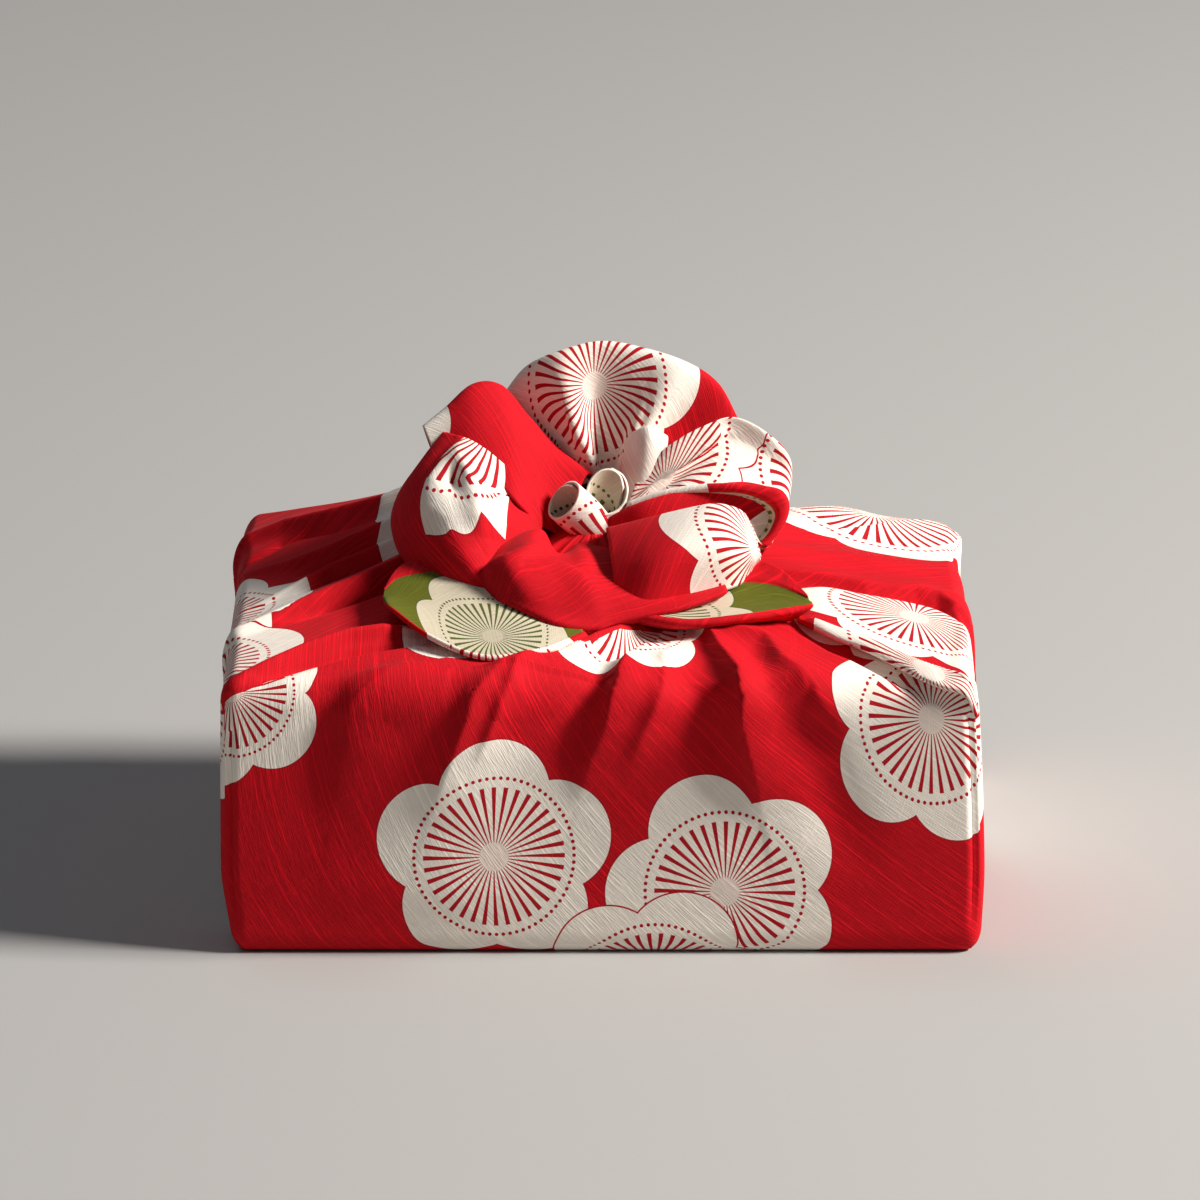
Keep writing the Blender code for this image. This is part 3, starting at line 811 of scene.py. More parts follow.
    def _plain_rows(self, columns: dict[Panel, np.ndarray]) -> np.ndarray:
        """The points of the skin on a plain block, one row round it after the other."""
        rim = np.concatenate([self._rim_point(panel, row) for panel, row in columns.items()])
        rows = [np.column_stack([rim * share, np.zeros(len(rim))])
                for share in self.under_shares]
        side = np.linspace(self.foot_radius, self.rim_height - self.top_radius, self.side_rows)
        top = self.rim_height - np.array(self.rim_steps)
        for height in np.concatenate([self.foot_steps, side, top]):
            rows.append(np.column_stack([rim, np.full(len(rim), height)]))
        middle = np.array(KNOT_PLACE)
        away = rim - middle
        length = np.linalg.norm(away, axis=1, keepdims=True)
        for share in (np.arange(1, self.top_rows + 1) / self.top_rows) ** self.top_crowding:
            reach = length + (self.opening_radius - length) * share
            place = middle + away / length * reach
            rows.append(np.column_stack([place, np.full(len(rim), self.rim_height)]))
        return np.stack(rows)

    def _round_block(self, points: np.ndarray) -> tuple[np.ndarray, np.ndarray]:
        """Move points of the plain block to the block with rounded edges, with their normals."""
        low = np.array((-self.width / 2, -self.depth / 2, 0.0))
        high = np.array((self.width / 2, self.depth / 2, self.rim_height))
        radii = np.empty_like(points)
        radii[:, :2] = self.edge_radius
        upper = points[:, 2] > self.rim_height / 2
        radii[:, 2] = np.where(upper, self.top_radius, self.foot_radius)
        core = np.minimum(np.maximum(points, low + radii), high - radii)
        direction = unit((points - core) / radii)
        return core + direction * radii, unit(direction / radii)

    def top_height(self, x: float, y: float) -> float:
        """Height of the cloth over the floor at a place on the top."""
        return self.rim_height + float(self._tent(x, y))

    def _tent(self, x: np.ndarray | float, y: np.ndarray | float) -> np.ndarray:
        """Height of the cloth above the rim: straight from the rim to the knot's neck."""
        dx, dy = x - KNOT_PLACE[0], y - KNOT_PLACE[1]
        reach = np.hypot(dx, dy) + 1e-9
        edge_x = np.copysign(self.width / 2, dx) - KNOT_PLACE[0]
        edge_y = np.copysign(self.depth / 2, dy) - KNOT_PLACE[1]
        safe_x = np.where(np.abs(dx) > 1e-6, dx, 1e-6)
        safe_y = np.where(np.abs(dy) > 1e-6, dy, 1e-6)
        rim = reach * np.minimum(np.abs(edge_x / safe_x), np.abs(edge_y / safe_y))
        share = np.clip((rim - reach) / (rim - self.neck_radius), 0.0, 1.0)
        headings, rises = zip(*self.neck_rises)
        return share * np.interp(np.degrees(np.arctan2(dy, dx)), headings, rises)

    def _shape(self, plain: np.ndarray) -> np.ndarray:
        """Lay points of the plain block on the cloth."""
        place, normal = self._round_block(plain)
        fold = np.zeros(len(place))
        for pleat in self.pleats:
            # A stop of two numbers lies on the top, at the rim's height
            run = tuple((*stop, self.rim_height)[:3] for stop in pleat.run)
            fold += pleat_heights(pleat._replace(run=run), place, normal)
        grounded = smoothstep((place[:, 2] - self.fold_start) / self.fold_rise)
        lifted = place + normal * (fold * grounded)[:, None]
        on_top = smoothstep((place[:, 2] - self.rim_height + self.tent_blend) / self.tent_blend)
        away = np.hypot(place[:, 0] - self.width / 2, place[:, 1] - self.depth / 2)
        droop = self.corner_droop * (1.0 - smoothstep(away / self.droop_reach))
        lifted[:, 2] += (self._tent(place[:, 0], place[:, 1]) - droop) * on_top
        lean = np.where(place[:, 0] > 0.0, self.right_lean, -self.left_lean)
        share = (place[:, 2] / self.rim_height) ** 2 * np.abs(place[:, 0]) / (self.width / 2)
        lifted[:, 0] -= lean * share
        draw = np.where(place[:, 0] > 0.0, self.right_draw, self.left_draw)
        drawn = draw * (1.0 - smoothstep(place[:, 2] / self.draw_height))
        lifted[:, 0] *= 1.0 - drawn / (self.width / 2)
        return lifted

    def _panel_places(self, panel: Panel, plain: np.ndarray, grid: np.ndarray) -> np.ndarray:
        """Places on a side of the cloth: along it, and up it and on over the top."""
        points = plain.reshape(-1, 3)[grid]
        x, y, z = points[..., 0], points[..., 1], points[..., 2]
        half_x, half_y = self.width / 2, self.depth / 2
        inward = {Panel.FRONT: y + half_y, Panel.RIGHT: half_x - x,
                  Panel.BACK: half_y - y, Panel.LEFT: x + half_x}[panel]
        along = {Panel.FRONT: x, Panel.RIGHT: y, Panel.BACK: -x, Panel.LEFT: -y}[panel]
        under = z < 1e-6
        up = np.where(under, -inward, z + inward)
        return np.stack([along, up], axis=-1)

    def _thread_places(self, flat: np.ndarray) -> np.ndarray:
        """Places along and across the slub yarns, which fan out from above the knot."""
        along, up = flat[..., 0], flat[..., 1]
        fan = along * self.fan_height / np.maximum(self.fan_height - up, self.fan_least)
        half = math.sqrt(0.5)
        return np.stack([(fan - up) * half, (fan + up) * half], axis=-1)


class Patch(NamedTuple):
    """A part of a sheet's side that shows the other side of the cloth, in shares."""

    side: Side
    along: tuple[float, float]
    across: tuple[float, float]
    printed: bool = True


@dataclass
class KnotSheet:
    """A sheet of the knot: rows of points, with its print, its folds and its turned parts."""

    name: str
    rows: tuple
    rests_on: tuple[str, ...] = ("wrapped_top",)
    face_blossoms: tuple = ()
    reverse_blossoms: tuple = ()
    patches: tuple = ()
    pleats: tuple = ()
    # 1 where the printed face lies on the side of the rows' own normals, -1 on the other
    face_turn: float = 1.0
    thread_turn: float = 40.0
    thickness: float = 0.8
    cell: float = 1.0
    # Rows of the first, coarse reading, which gives the sheet's size
    coarse_rows: int = 25
    # How far a turned part stands over the cloth under it
    turned_lift: float = 0.45
    # The sheet's thin edge shows a petal's plain cream rather than the ground
    pale_rim: bool = False

    def build(self, cloth: Cloth) -> bpy.types.Object:
        """Build and dress the sheet.

        Args:
            cloth: The printed cloth.

        Returns:
            The finished piece.
        """
        grid, shares = self._grid()
        normals = self._normals(grid) * self.face_turn
        grid = self._folded(grid, normals, shares)
        normals = self._normals(grid) * self.face_turn
        rows, count = grid.shape[:2]
        half = self.thickness / 2
        outer = grid + normals * (half + self._lift(Side.FACE, shares))[..., None]
        inner = grid - normals * (half + self._lift(Side.REVERSE, shares))[..., None]
        points = np.concatenate([outer.reshape(-1, 3), inner.reshape(-1, 3)])
        index = np.arange(rows * count).reshape(rows, count)
        faces, slots = [], []
        for side in Side:
            order = self._order(side)
            faces.append(face_corners(index + side.value * rows * count, order))
            slots.append(self._slots(side, face_corners(shares, order).mean(axis=1)))
        rim = self._rim(index, rows * count)
        maps = self._maps(cloth, grid, shares, len(rim))
        obj = cloth.piece(self.name, points, np.concatenate([*faces, rim]), maps,
                          np.concatenate([*slots, np.zeros(len(rim))]))
        return obj

    def _grid(self) -> tuple[np.ndarray, np.ndarray]:
        """The sheet's points and their shares along and across it."""
        rows = np.asarray(self.rows, dtype=float)
        length, width = self._size(spline_along(rows, np.linspace(0.0, 1.0, self.coarse_rows)))
        along_shares = np.linspace(0.0, 1.0, round(length / self.cell) + 1)
        across_shares = np.linspace(0.0, 1.0, round(width / self.cell) + 1)
        lines = spline_along(rows, along_shares)
        grid = np.swapaxes(spline_along(np.swapaxes(lines, 0, 1), across_shares), 0, 1)
        shares = np.stack(np.meshgrid(along_shares, across_shares, indexing="ij"), axis=-1)
        return grid, shares

    def _normals(self, grid: np.ndarray) -> np.ndarray:
        """Unit normals of a grid of points."""
        return unit(np.cross(np.gradient(grid, axis=0), np.gradient(grid, axis=1)))

    def _size(self, grid: np.ndarray) -> tuple[float, float]:
        """Longest way along the sheet and longest way across it, in mm."""
        along = np.linalg.norm(np.diff(grid, axis=0), axis=2).sum(axis=0).max()
        across = np.linalg.norm(np.diff(grid, axis=1), axis=2).sum(axis=1).max()
        return float(along), float(across)

    def _folded(self, grid: np.ndarray, normals: np.ndarray, shares: np.ndarray) -> np.ndarray:
        """Press the sheet's own pleats into it."""
        size = np.array(self._size(grid))
        flat = np.concatenate([shares * size, np.zeros(shares.shape[:2] + (1,))], axis=-1)
        flat = flat.reshape(-1, 3)
        up = np.tile((0.0, 0.0, 1.0), (len(flat), 1))
        lift = np.zeros(len(flat))
        for pleat in self.pleats:
            run = tuple((a * size[0], b * size[1], 0.0) for a, b in pleat.run)
            lift += pleat_heights(pleat._replace(run=run), flat, up)
        return grid + normals * lift.reshape(shares.shape[:2])[..., None]

    def _turned(self, side: Side, shares: np.ndarray, plain_only: bool = False) -> np.ndarray:
        """True where this side shows the other side of the cloth, or only its plain parts."""
        turned = np.zeros(shares.shape[:-1], dtype=bool)
        for patch in self.patches:
            if patch.side is side and not (plain_only and patch.printed):
                along = (shares[..., 0] >= patch.along[0]) & (shares[..., 0] <= patch.along[1])
                across = (shares[..., 1] >= patch.across[0]) & (shares[..., 1] <= patch.across[1])
                turned |= along & across
        return turned

    def _lift(self, side: Side, shares: np.ndarray) -> np.ndarray:
        """How far the turned cloth stands over a side."""
        return self._turned(side, shares) * self.turned_lift

    def _slots(self, side: Side, middles: np.ndarray) -> np.ndarray:
        """The material slot of each face of a side."""
        turned = self._turned(side, middles)
        return np.where(turned, 1 - side.value, side.value)

    def _order(self, side: Side) -> tuple:
        """The order of a face's corners that turns it outward on a side."""
        forward = (self.face_turn > 0.0) == (side is Side.FACE)
        return SHEET_ORDER if forward else SHEET_ORDER[::-1]

    def _rim(self, index: np.ndarray, count: int) -> np.ndarray:
        """Faces that close the sheet's edge between its two sides."""
        loop = np.concatenate([index[:-1, 0], index[-1, :-1], index[:0:-1, -1], index[0, :0:-1]])
        after = np.roll(loop, -1)
        faces = np.stack([loop, loop + count, after + count, after], axis=1)
        return faces if self.face_turn > 0.0 else faces[:, ::-1]

    def _cumulative(self, grid: np.ndarray) -> tuple[np.ndarray, np.ndarray]:
        """Way along and across the sheet to each point, in mm."""
        along = np.linalg.norm(np.diff(grid, axis=0), axis=2)
        across = np.linalg.norm(np.diff(grid, axis=1), axis=2)
        along = np.concatenate([np.zeros((1, grid.shape[1])), along.cumsum(axis=0)])
        across = np.concatenate([np.zeros((grid.shape[0], 1)), across.cumsum(axis=1)], axis=1)
        return along, across

    def _offsets(self, blossom: Blossom, grid: np.ndarray) -> np.ndarray:
        """Offsets of each point from a blossom's middle, measured along the cloth."""
        along, across = self._cumulative(grid)
        rows, count = grid.shape[:2]
        row = min(max(round(blossom.across * (rows - 1)), 0), rows - 1)
        column = min(max(round(blossom.up * (count - 1)), 0), count - 1)
        beyond_along = (blossom.across - row / (rows - 1)) * along[-1].mean()
        beyond_across = (blossom.up - column / (count - 1)) * across[:, -1].mean()
        u = along - along[row] - beyond_along
        v = across - across[:, column:column + 1] - beyond_across
        return np.stack([u, v], axis=-1)

    def _printed(self, blossom: Blossom, grid: np.ndarray, shares: np.ndarray) -> np.ndarray:
        """One blossom's shown print at the sheet's points."""
        size = np.array(self._size(grid))
        lines = tuple(np.array(line) * size for line in blossom.cuts)
        return shown_print(blossom, self._offsets(blossom, grid), shares * size, lines)

    def _maps(self, cloth: Cloth, grid: np.ndarray, shares: np.ndarray, rim: int
              ) -> dict[str, np.ndarray]:
        """The print's and the weave's coordinates at the corners of all faces."""
        layers, weave = [], []
        along, across = self._cumulative(grid)
        turn = math.radians(self.thread_turn)
        threads = np.stack([along * math.cos(turn) - across * math.sin(turn),
                            along * math.sin(turn) + across * math.cos(turn)], axis=-1)
        for side, blossoms in ((Side.FACE, self.face_blossoms),
                               (Side.REVERSE, self.reverse_blossoms)):
            order = self._order(side)
            corners = [face_corners(self._printed(row, grid, shares), order)
                       for row in blossoms]
            count = (grid.shape[0] - 1) * (grid.shape[1] - 1)
            both = cloth.printed_layers(corners, count)
            middles = face_corners(shares, order).mean(axis=1)
            both[:, self._turned(side, middles, plain_only=True)] = FAR_AWAY
            layers.append(both)
            weave.append(face_corners(threads, order))
        edge = np.full((2, rim, 4, 3), FAR_AWAY)
        if self.pale_rim:
            edge[..., :2] = PALE_PLACE
        maps = cloth.print_maps(np.concatenate(layers + [edge], axis=1))
        maps["weave"] = np.concatenate(weave + [np.zeros((rim, 4, 2))])
        return maps


@dataclass
class RolledTip:
    """A corner of the cloth rolled to a small tube, cut slantwise, that stands in the knot."""

    name: str
    root: tuple[float, float, float]
    mouth: tuple[float, float, float]
    radii: tuple[float, ...]
    slant: float
    # Where the outer edge ends, counted from the front, and how far it laps over the inner one
    edge_turn: float = math.pi
    lap: float = math.radians(70.0)
    # How much the roll widens from its inner to its outer edge, and how flat it is pressed
    growth: float = 0.26
    flatness: float = 0.7
    stops: int = 13
    cell: float = 0.5
    face_blossom: Blossom = Blossom(-0.55, 0.5)
    lining_blossom: Blossom = Blossom(-0.3, 0.5)

    def build(self, cloth: Cloth) -> bpy.types.Object:
        """Build and dress the tip.

        Args:
            cloth: The printed cloth.

        Returns:
            The finished piece.
        """
        sheet = KnotSheet(self.name, self._rows(), rests_on=("knot_gathers",),
                          face_blossoms=(self.face_blossom,),
                          reverse_blossoms=(self.lining_blossom,),
                          face_turn=-1.0, cell=self.cell, pale_rim=True)
        return sheet.build(cloth)

    def _rows(self) -> tuple:
        """Rows of points round the tube, its mouth slanting down towards the front."""
        root, mouth = Vector(self.root), Vector(self.mouth)
        axis = (mouth - root).normalized()
        toward = Vector((0.0, -1.0, 0.0))
        toward = (toward - axis * toward.dot(axis)).normalized()
        aside = axis.cross(toward)
        rows = []
        for step, radius in enumerate(self.radii):
            share = step / (len(self.radii) - 1)
            middle = root.lerp(mouth, share)
            arc = []
            for wound in np.linspace(0.0, 1.0, self.stops):
                turn = self.edge_turn - (1.0 - wound) * (math.tau + self.lap)
                reach = radius * (1.0 + (wound - 0.5) * self.growth)
                forward = math.cos(turn) * self.flatness
                point = middle + (toward * forward + aside * math.sin(turn)) * reach
                arc.append(tuple(point - axis * (self.slant * share * math.cos(turn))))
            rows.append(tuple(arc))
        return tuple(rows)


@dataclass
class KnotGathers:
    """The wound cloth in the middle of the knot, which the petals grow out of."""

    # Height, half width and half depth of each ring
    rings: tuple = ((92, 26, 30), (100, 32, 33), (108, 24, 24), (114, 14, 14), (117, 6, 7),
                    (117.5, 0.5, 0.5))
    folds: int = 19
    fold_depth: float = 0.06
    # A second, finer wave keeps the folds uneven: its share, its pace and where it starts
    second_wave: tuple[float, float, float] = (0.5, 2.3, 1.0)
    around: int = 190
    up: int = 46
    # The piece laid flat, in mm
    girth: float = 190.0
    height: float = 45.0

    def build(self, cloth: Cloth) -> bpy.types.Object:
        """Build and dress the gathers.

        Args:
            cloth: The printed cloth.

        Returns:
            The finished piece.
        """
        rings = spline_along(np.asarray(self.rings, dtype=float), np.linspace(0, 1, self.up + 1))
        turns = np.arange(self.around) * math.tau / self.around
        share, pace, start = self.second_wave
        waves = 1.0 + self.fold_depth * (np.sin(self.folds * turns)
                                         + share * np.sin(pace * self.folds * turns + start))
        x = KNOT_PLACE[0] + rings[:, 1:2] * np.cos(turns) * waves
        y = KNOT_PLACE[1] + rings[:, 2:3] * np.sin(turns) * waves
        z = np.repeat(rings[:, :1], self.around, axis=1)
        points = np.stack([x, y, z], axis=-1).reshape(-1, 3)
        index = np.arange(len(points)).reshape(self.up + 1, self.around)
        index = np.concatenate([index, index[:, :1]], axis=1)
        faces = face_corners(index, SKIN_ORDER)
        height = np.linspace(0.0, self.height, self.up + 1)[:, None]
        way = np.linspace(0.0, self.girth, self.around + 1)[None, :]
        flat = np.stack(np.broadcast_arrays(height, way), axis=-1)
        maps = cloth.print_maps(cloth.printed_layers([], len(faces)))
        maps["weave"] = face_corners(flat, SKIN_ORDER)
        obj = cloth.piece("knot_gathers", points, faces, maps)
        return obj


class SoftLight(NamedTuple):
    """A square area light: its place and side in metres, its power in watts, its colour."""

    name: str
    place: tuple[float, float, float]
    side: float
    power: float
    colour: str


@dataclass
class Studio:
    """The pale floor, the soft lights and the camera."""

    floor_size: float = 12.0
    floor_colour: str = "#AFAEAC"
    floor_roughness: float = 0.9
    # The texture that a paint roller leaves: its fineness, its strength and its depth in metres
    roller_marks: tuple[float, float, float] = (260.0, 0.06, 0.0004)
    # The key stands on the right, a little in front, so that the folds shade to their left
    lights: tuple[SoftLight, ...] = (
        SoftLight("key_light", (2.60, -0.47, 2.05), 0.85, 208.0, "#FFFAF4"),
        SoftLight("top_light", (-0.9, 0.9, 2.4), 1.8, 7.0, "#F2F4FF"),
    )
    # What the lights are turned to
    target: tuple[float, float, float] = (0.0, 0.0, 0.07)
    sky_colour: str = "#E8ECF2"
    sky_strength: float = 0.10
    # The lens stands 2.7 m away, 18.5 degrees above the horizon
    camera_place: tuple[float, float, float] = (-0.00103, -2.49707, 0.92538)
    camera_tilt: float = math.radians(71.5)
    lens: float = 244.14
    sensor: float = 36.0

    def build(self) -> None:
        """Build the floor, the lights and the camera."""
        self._floor()
        for light in self.lights:
            self._light(light)
        world = bpy.context.scene.world or bpy.data.worlds.new("studio")
        bpy.context.scene.world = world
        world.use_nodes = True
        sky = world.node_tree.nodes["Background"]
        sky.inputs["Color"].default_value = linear(self.sky_colour)
        sky.inputs["Strength"].default_value = self.sky_strength
        # Dyes this deep keep their hue only without a filmic curve
        bpy.context.scene.view_settings.view_transform = "Standard"
        self._camera()

    def sight(self, pixel: tuple[float, float], depth: float) -> tuple[float, float, float]:
        """Find where the sight line through a pixel meets an upright plane across the scene.

        Args:
            pixel: A place in the photograph, from its upper left corner.
            depth: The plane's y in the tables' frame, in mm.

        Returns:
            The place in the tables' frame, to a tenth of a mm.
        """
        pixels = PHOTO_SIZE * self.lens / self.sensor
        right, down = (pixel[0] - PHOTO_SIZE / 2) / pixels, (pixel[1] - PHOTO_SIZE / 2) / pixels
        sine, cosine = math.sin(self.camera_tilt), math.cos(self.camera_tilt)
        ray = np.array((right, sine - down * cosine, -cosine - down * sine))
        eye = np.array(self.camera_place) / MM - CENTRED_BY
        return to_tenths(eye + ray * (depth - eye[1]) / ray[1])

    def _floor(self) -> None:
        """Lay a plain pale floor of matt painted board: even, with a trace of roller marks."""
        mesh = bpy.data.meshes.new("floor")
        half = self.floor_size / 2
        corners = [(-half, -half, 0.0), (half, -half, 0.0), (half, half, 0.0), (-half, half, 0.0)]
        mesh.from_pydata(corners, [], [(0, 1, 2, 3)])
        floor = bpy.data.objects.new("floor", mesh)
        bpy.context.scene.collection.objects.link(floor)
        material = bpy.data.materials.new("matt_painted_board")
        material.use_nodes = True
        tree = material.node_tree
        shader = tree.nodes["Principled BSDF"]
        place = add_node(tree, "ShaderNodeTexCoord", output="Object")
        fineness, strength, depth = self.roller_marks
        grain = add_node(tree, NOISE, {"Vector": place, "Scale": fineness})
        bump = add_node(tree, "ShaderNodeBump",
                        {"Height": grain, "Strength": strength, "Distance": depth})
        tree.links.new(bump, shader.inputs["Normal"])
        shader.inputs["Base Color"].default_value = linear(self.floor_colour)
        shader.inputs["Roughness"].default_value = self.floor_roughness
        mesh.materials.append(material)

    def _light(self, plan: SoftLight) -> None:
        """Add a light that faces the wrap.

        Args:
            plan: The light's sizes and its place.
        """
        light = bpy.data.lights.new(plan.name, "AREA")
        light.size = plan.side
        light.energy = plan.power
        light.color = linear(plan.colour)[:3]
        obj = bpy.data.objects.new(plan.name, light)
        obj.location = plan.place
        away = Vector(plan.place) - Vector(self.target)
        obj.rotation_euler = away.to_track_quat("Z", "Y").to_euler()
        bpy.context.scene.collection.objects.link(obj)

    def _camera(self) -> None:
        """Add the camera at the photograph's viewing angle."""
        camera = bpy.data.cameras.new("camera")
        camera.lens = self.lens
        camera.sensor_width = self.sensor
        obj = bpy.data.objects.new("camera", camera)
        obj.location = self.camera_place
        obj.rotation_euler = (self.camera_tilt, 0.0, 0.0)
        bpy.context.scene.collection.objects.link(obj)
        bpy.context.scene.camera = obj


BODY_PLEATS = (
    # front, from left to right: each ridge is steep on its left, with a valley behind it
    Pleat(((-64, -81), (-73, -85), (-78, -87, 88), (-81, -87, 82), (-81, -87, 72), (-83, -87, 65),
          (-86, -87, 46)), (2.0, 2.6, 3.0, 3.0, 2.6, 2.0, 0.3), 14, 4, 1.4),
    Pleat(((-84, -87, 86), (-88, -87, 72), (-91, -87, 52), (-94, -87, 32)),
          (-1.8, -1.8, -1.2, -0.1), 9, 9),
    Pleat(((-20, -74), (-29, -79), (-41, -87, 88), (-47, -87, 72), (-51, -87, 60),
          (-56, -87, 44)), (3.0, 3.8, 4.4, 4.4, 3.2, 0.3), 13, 3.0, 1.25),
    Pleat(((-25, -78), (-31, -87, 89), (-36, -87, 77), (-40, -87, 66)), (1.8, 2.0, 1.8, 0.1), 4,
          1.8, 1.3),
    Pleat(((16, -60), (12, -69), (7, -76), (2, -87, 87), (0, -87, 78), (-5, -87, 65),
          (-8, -87, 52)), (2.0, 4.0, 4.6, 4.8, 4.4, 2.6, 0.3), 12, 2.6, 1.2),
    Pleat(((-1, -83), (-5, -87, 84), (-9, -87, 72), (-14, -87, 58)), (-2.6, -2.8, -2.2, -0.1), 5,
          6, 1.6),
    Pleat(((33, -51), (37, -67), (42, -80), (44, -87, 87), (44, -87, 78), (46, -87, 68),
          (48, -87, 59), (50, -87, 47)), (4.0, 5.0, 5.6, 6.0, 5.6, 5.0, 3.6, 0.6), 14, 2.4, 1.2),
    Pleat(((28, -83), (33, -87, 84), (34, -87, 75), (38, -87, 62), (43, -87, 48)),
          (-3.0, -3.2, -3.0, -2.0, -0.2), 8, 9, 1.6),
    Pleat(((20, -72), (18, -87, 86), (12, -87, 74), (8, -87, 62)), (2.0, 2.4, 1.8, 0.1), 6, 3,
          1.4),
    Pleat(((43, -56), (53, -60), (58, -75), (67, -86), (74, -87, 79), (77, -87, 69)),
          (3.0, 3.4, 3.4, 3.0, 2.2, 0.2), 12, 3.5, 1.4),
    Pleat(((49, -71), (54, -87), (59, -87, 79)), (-1.8, -1.8, -0.2), 5, 5),
    Pleat(((67, -87, 74), (75, -87, 46), (84, -87, 25)), (-1.8, -1.8, -0.1), 9, 9),
    # the neck's own twisted fold over the front, and the hollow below it
    Pleat(((12, -50), (5, -57), (-2, -62), (-9, -68), (-15, -70)), (2.0, 4.6, 4.6, 3.4, 0.4), 2.2,
          2.6, 1.6),
    Pleat(((24, -56), (12, -61), (3, -68), (-5, -73)), (-1.2, -3.0, -3.0, -0.5), 2.6, 3.4, 1.6),
    # front left: the cloth swells and turns away from the light
    Pleat(((-50, -87, 80), (-54, -87, 14)), (3.4, 2.8), 24, 44),
    # front left corner: a raised band with a deep slot behind it and a dark line under it
    Pleat(((-50, -51), (-60, -55), (-70, -59), (-81, -62.5), (-95, -70), (-106, -78),
          (-118, -86, 88)), (0.0, 1.0, 4.6, 5.0, 4.6, 3.8, 1.8), 1.5, 4.2),
    Pleat(((-56, -47), (-68, -51), (-77, -54), (-88, -60), (-100, -69)),
          (-3.0, -4.4, -4.4, -3.4, -0.6), 1.6, 2.0),
    Pleat(((-58, -61), (-70, -64), (-81, -67.5), (-95, -74.5), (-108, -83)),
          (-0.8, -2.8, -3.4, -3.0, -1.0), 2.2, 1.3),
    # left side, from front to back: each fold is steep in front, with a slot at its foot
    Pleat(((-50, -8), (-61, -12), (-73, -18), (-87, -24), (-98, -29), (-117, -39),
          (-121, -46, 78)), (5.0, 5.6, 5.6, 5.2, 4.6, 2.8, 0.8), 1.7, 9, 1.4),
    Pleat(((-52, -13), (-63, -17), (-75, -22.5), (-89, -28.5), (-102, -35)),
          (-3.4, -4.2, -4.2, -3.6, -0.8), 2.6, 1.6),
    Pleat(((-56, 1), (-64, 0), (-73, -1.5), (-88, -3.5), (-99, -9), (-114, -16)),
          (4.2, 4.6, 4.6, 4.0, 2.8, 0.6), 1.5, 5, 1.4),
    Pleat(((-56, -3), (-64, -4.5), (-74, -6), (-88, -8.5), (-98, -13)),
          (-3.2, -3.8, -3.8, -3.2, -0.6), 2.4, 1.6),
    Pleat(((-56, 15), (-67, 15), (-75, 15), (-88, 12), (-102, 12), (-117, 20)),
          (5.0, 5.4, 5.2, 4.8, 3.6, 1.0), 1.8, 9, 1.4),
    Pleat(((-56, 10), (-67, 10), (-75, 9.5), (-88, 6.5), (-101, 6)),
          (-3.2, -3.8, -3.8, -3.2, -0.6), 2.8, 1.8),
    Pleat(((-56, 40), (-73, 38), (-92, 45), (-106, 52), (-117, 54), (-121, 50, 70)),
          (4.8, 5.2, 5.2, 4.8, 3.6, 0.8), 2.2, 10, 1.4),
    Pleat(((-70, 32), (-88, 37), (-99, 43), (-106, 43), (-111, 39), (-116, 36), (-121, 30, 82),
          (-121, 22, 40)), (-0.6, -2.4, -3.0, -3.2, -3.2, -3.0, -2.0, -0.4), 2.4, 2.4),
    # back
    Pleat(((-34, 28), (-74, 87, 88), (-92, 87, 46)), (2.8, 2.4, 0.4), 7, 6),
    Pleat(((-14, 34), (-30, 87, 88), (-40, 87, 50)), (2.2, 2.0, 0.4), 6, 8),
    Pleat(((4, 34), (10, 87, 88), (6, 87, 56)), (-1.6, -1.6, -0.2), 5, 5),
    Pleat(((20, 30), (44, 87, 88), (54, 87, 44)), (3.0, 2.8, 0.5), 9, 5),
    Pleat(((36, 20), (90, 87, 88), (104, 87, 60)), (2.4, 1.8, 0.2), 8, 7),
    # right side: the raised cloth along the back rim, the valley and the flap in front of it
    Pleat(((30, 62), (70, 76), (112, 78)), (2.0, 4.0, 3.4), 10, 12),
    Pleat(((34, 30), (84, 46), (121, 52, 80)), (-1.0, -2.6, -1.0), 14, 14),
    Pleat(((34, 10), (88, 22), (121, 34, 72)), (2.0, 1.8, 0.4), 8, 8),
    Pleat(((52, -5), (58, -5), (70, -6), (87, -8.5), (104, -6), (112, -7), (117, -14, 88),
          (119, -40, 80)), (2.0, 2.6, 3.4, 4.0, 4.0, 3.6, 2.0, 0.6), 11, 1.7),
    Pleat(((54, -10), (70, -10.5), (87, -13), (104, -10.5), (112, -12), (117, -22),
          (119, -42, 84)), (-1.6, -2.4, -3.0, -3.0, -2.8, -2.0, -0.4), 1.6, 2.6),
    # front right corner: the dark slot under the flap's front edge
    Pleat(((60, -48), (68, -54.5), (75, -62), (82, -67), (92, -78), (99, -86), (106, -87, 86)),
          (-1.0, -2.4, -3.4, -3.8, -3.6, -2.6, -0.6), 6, 2.0),
    # slits down the two front edges
    Pleat(((118.2, -87, 80), (118.0, -87, 10)), (-2.2, -2.0), 0.9, 1.1),
    Pleat(((-118.2, -87, 74), (-118.0, -87, 10)), (-2.2, -2.0), 1.1, 0.9),
)

# Where folds cut the print off, in the panels' own coordinates
NECK_FOLD = ((60, 134), (30, 128), (12, 124), (3, 117.5), (-6, 110), (-20, 106))
BAND_FRONT = ((-60, 115), (-81, 107.5), (-95, 100.5), (-108, 93), (-121, 85.5))
BAND_BACK = ((84, 84), (79, 98), (71, 107), (58, 123), (51, 134), (56, 145))
FLAP_BEHIND = ((-46, 93), (-28, 95), (-19, 99), (-17, 107), (-18, 124), (-15, 141), (-14, 160))

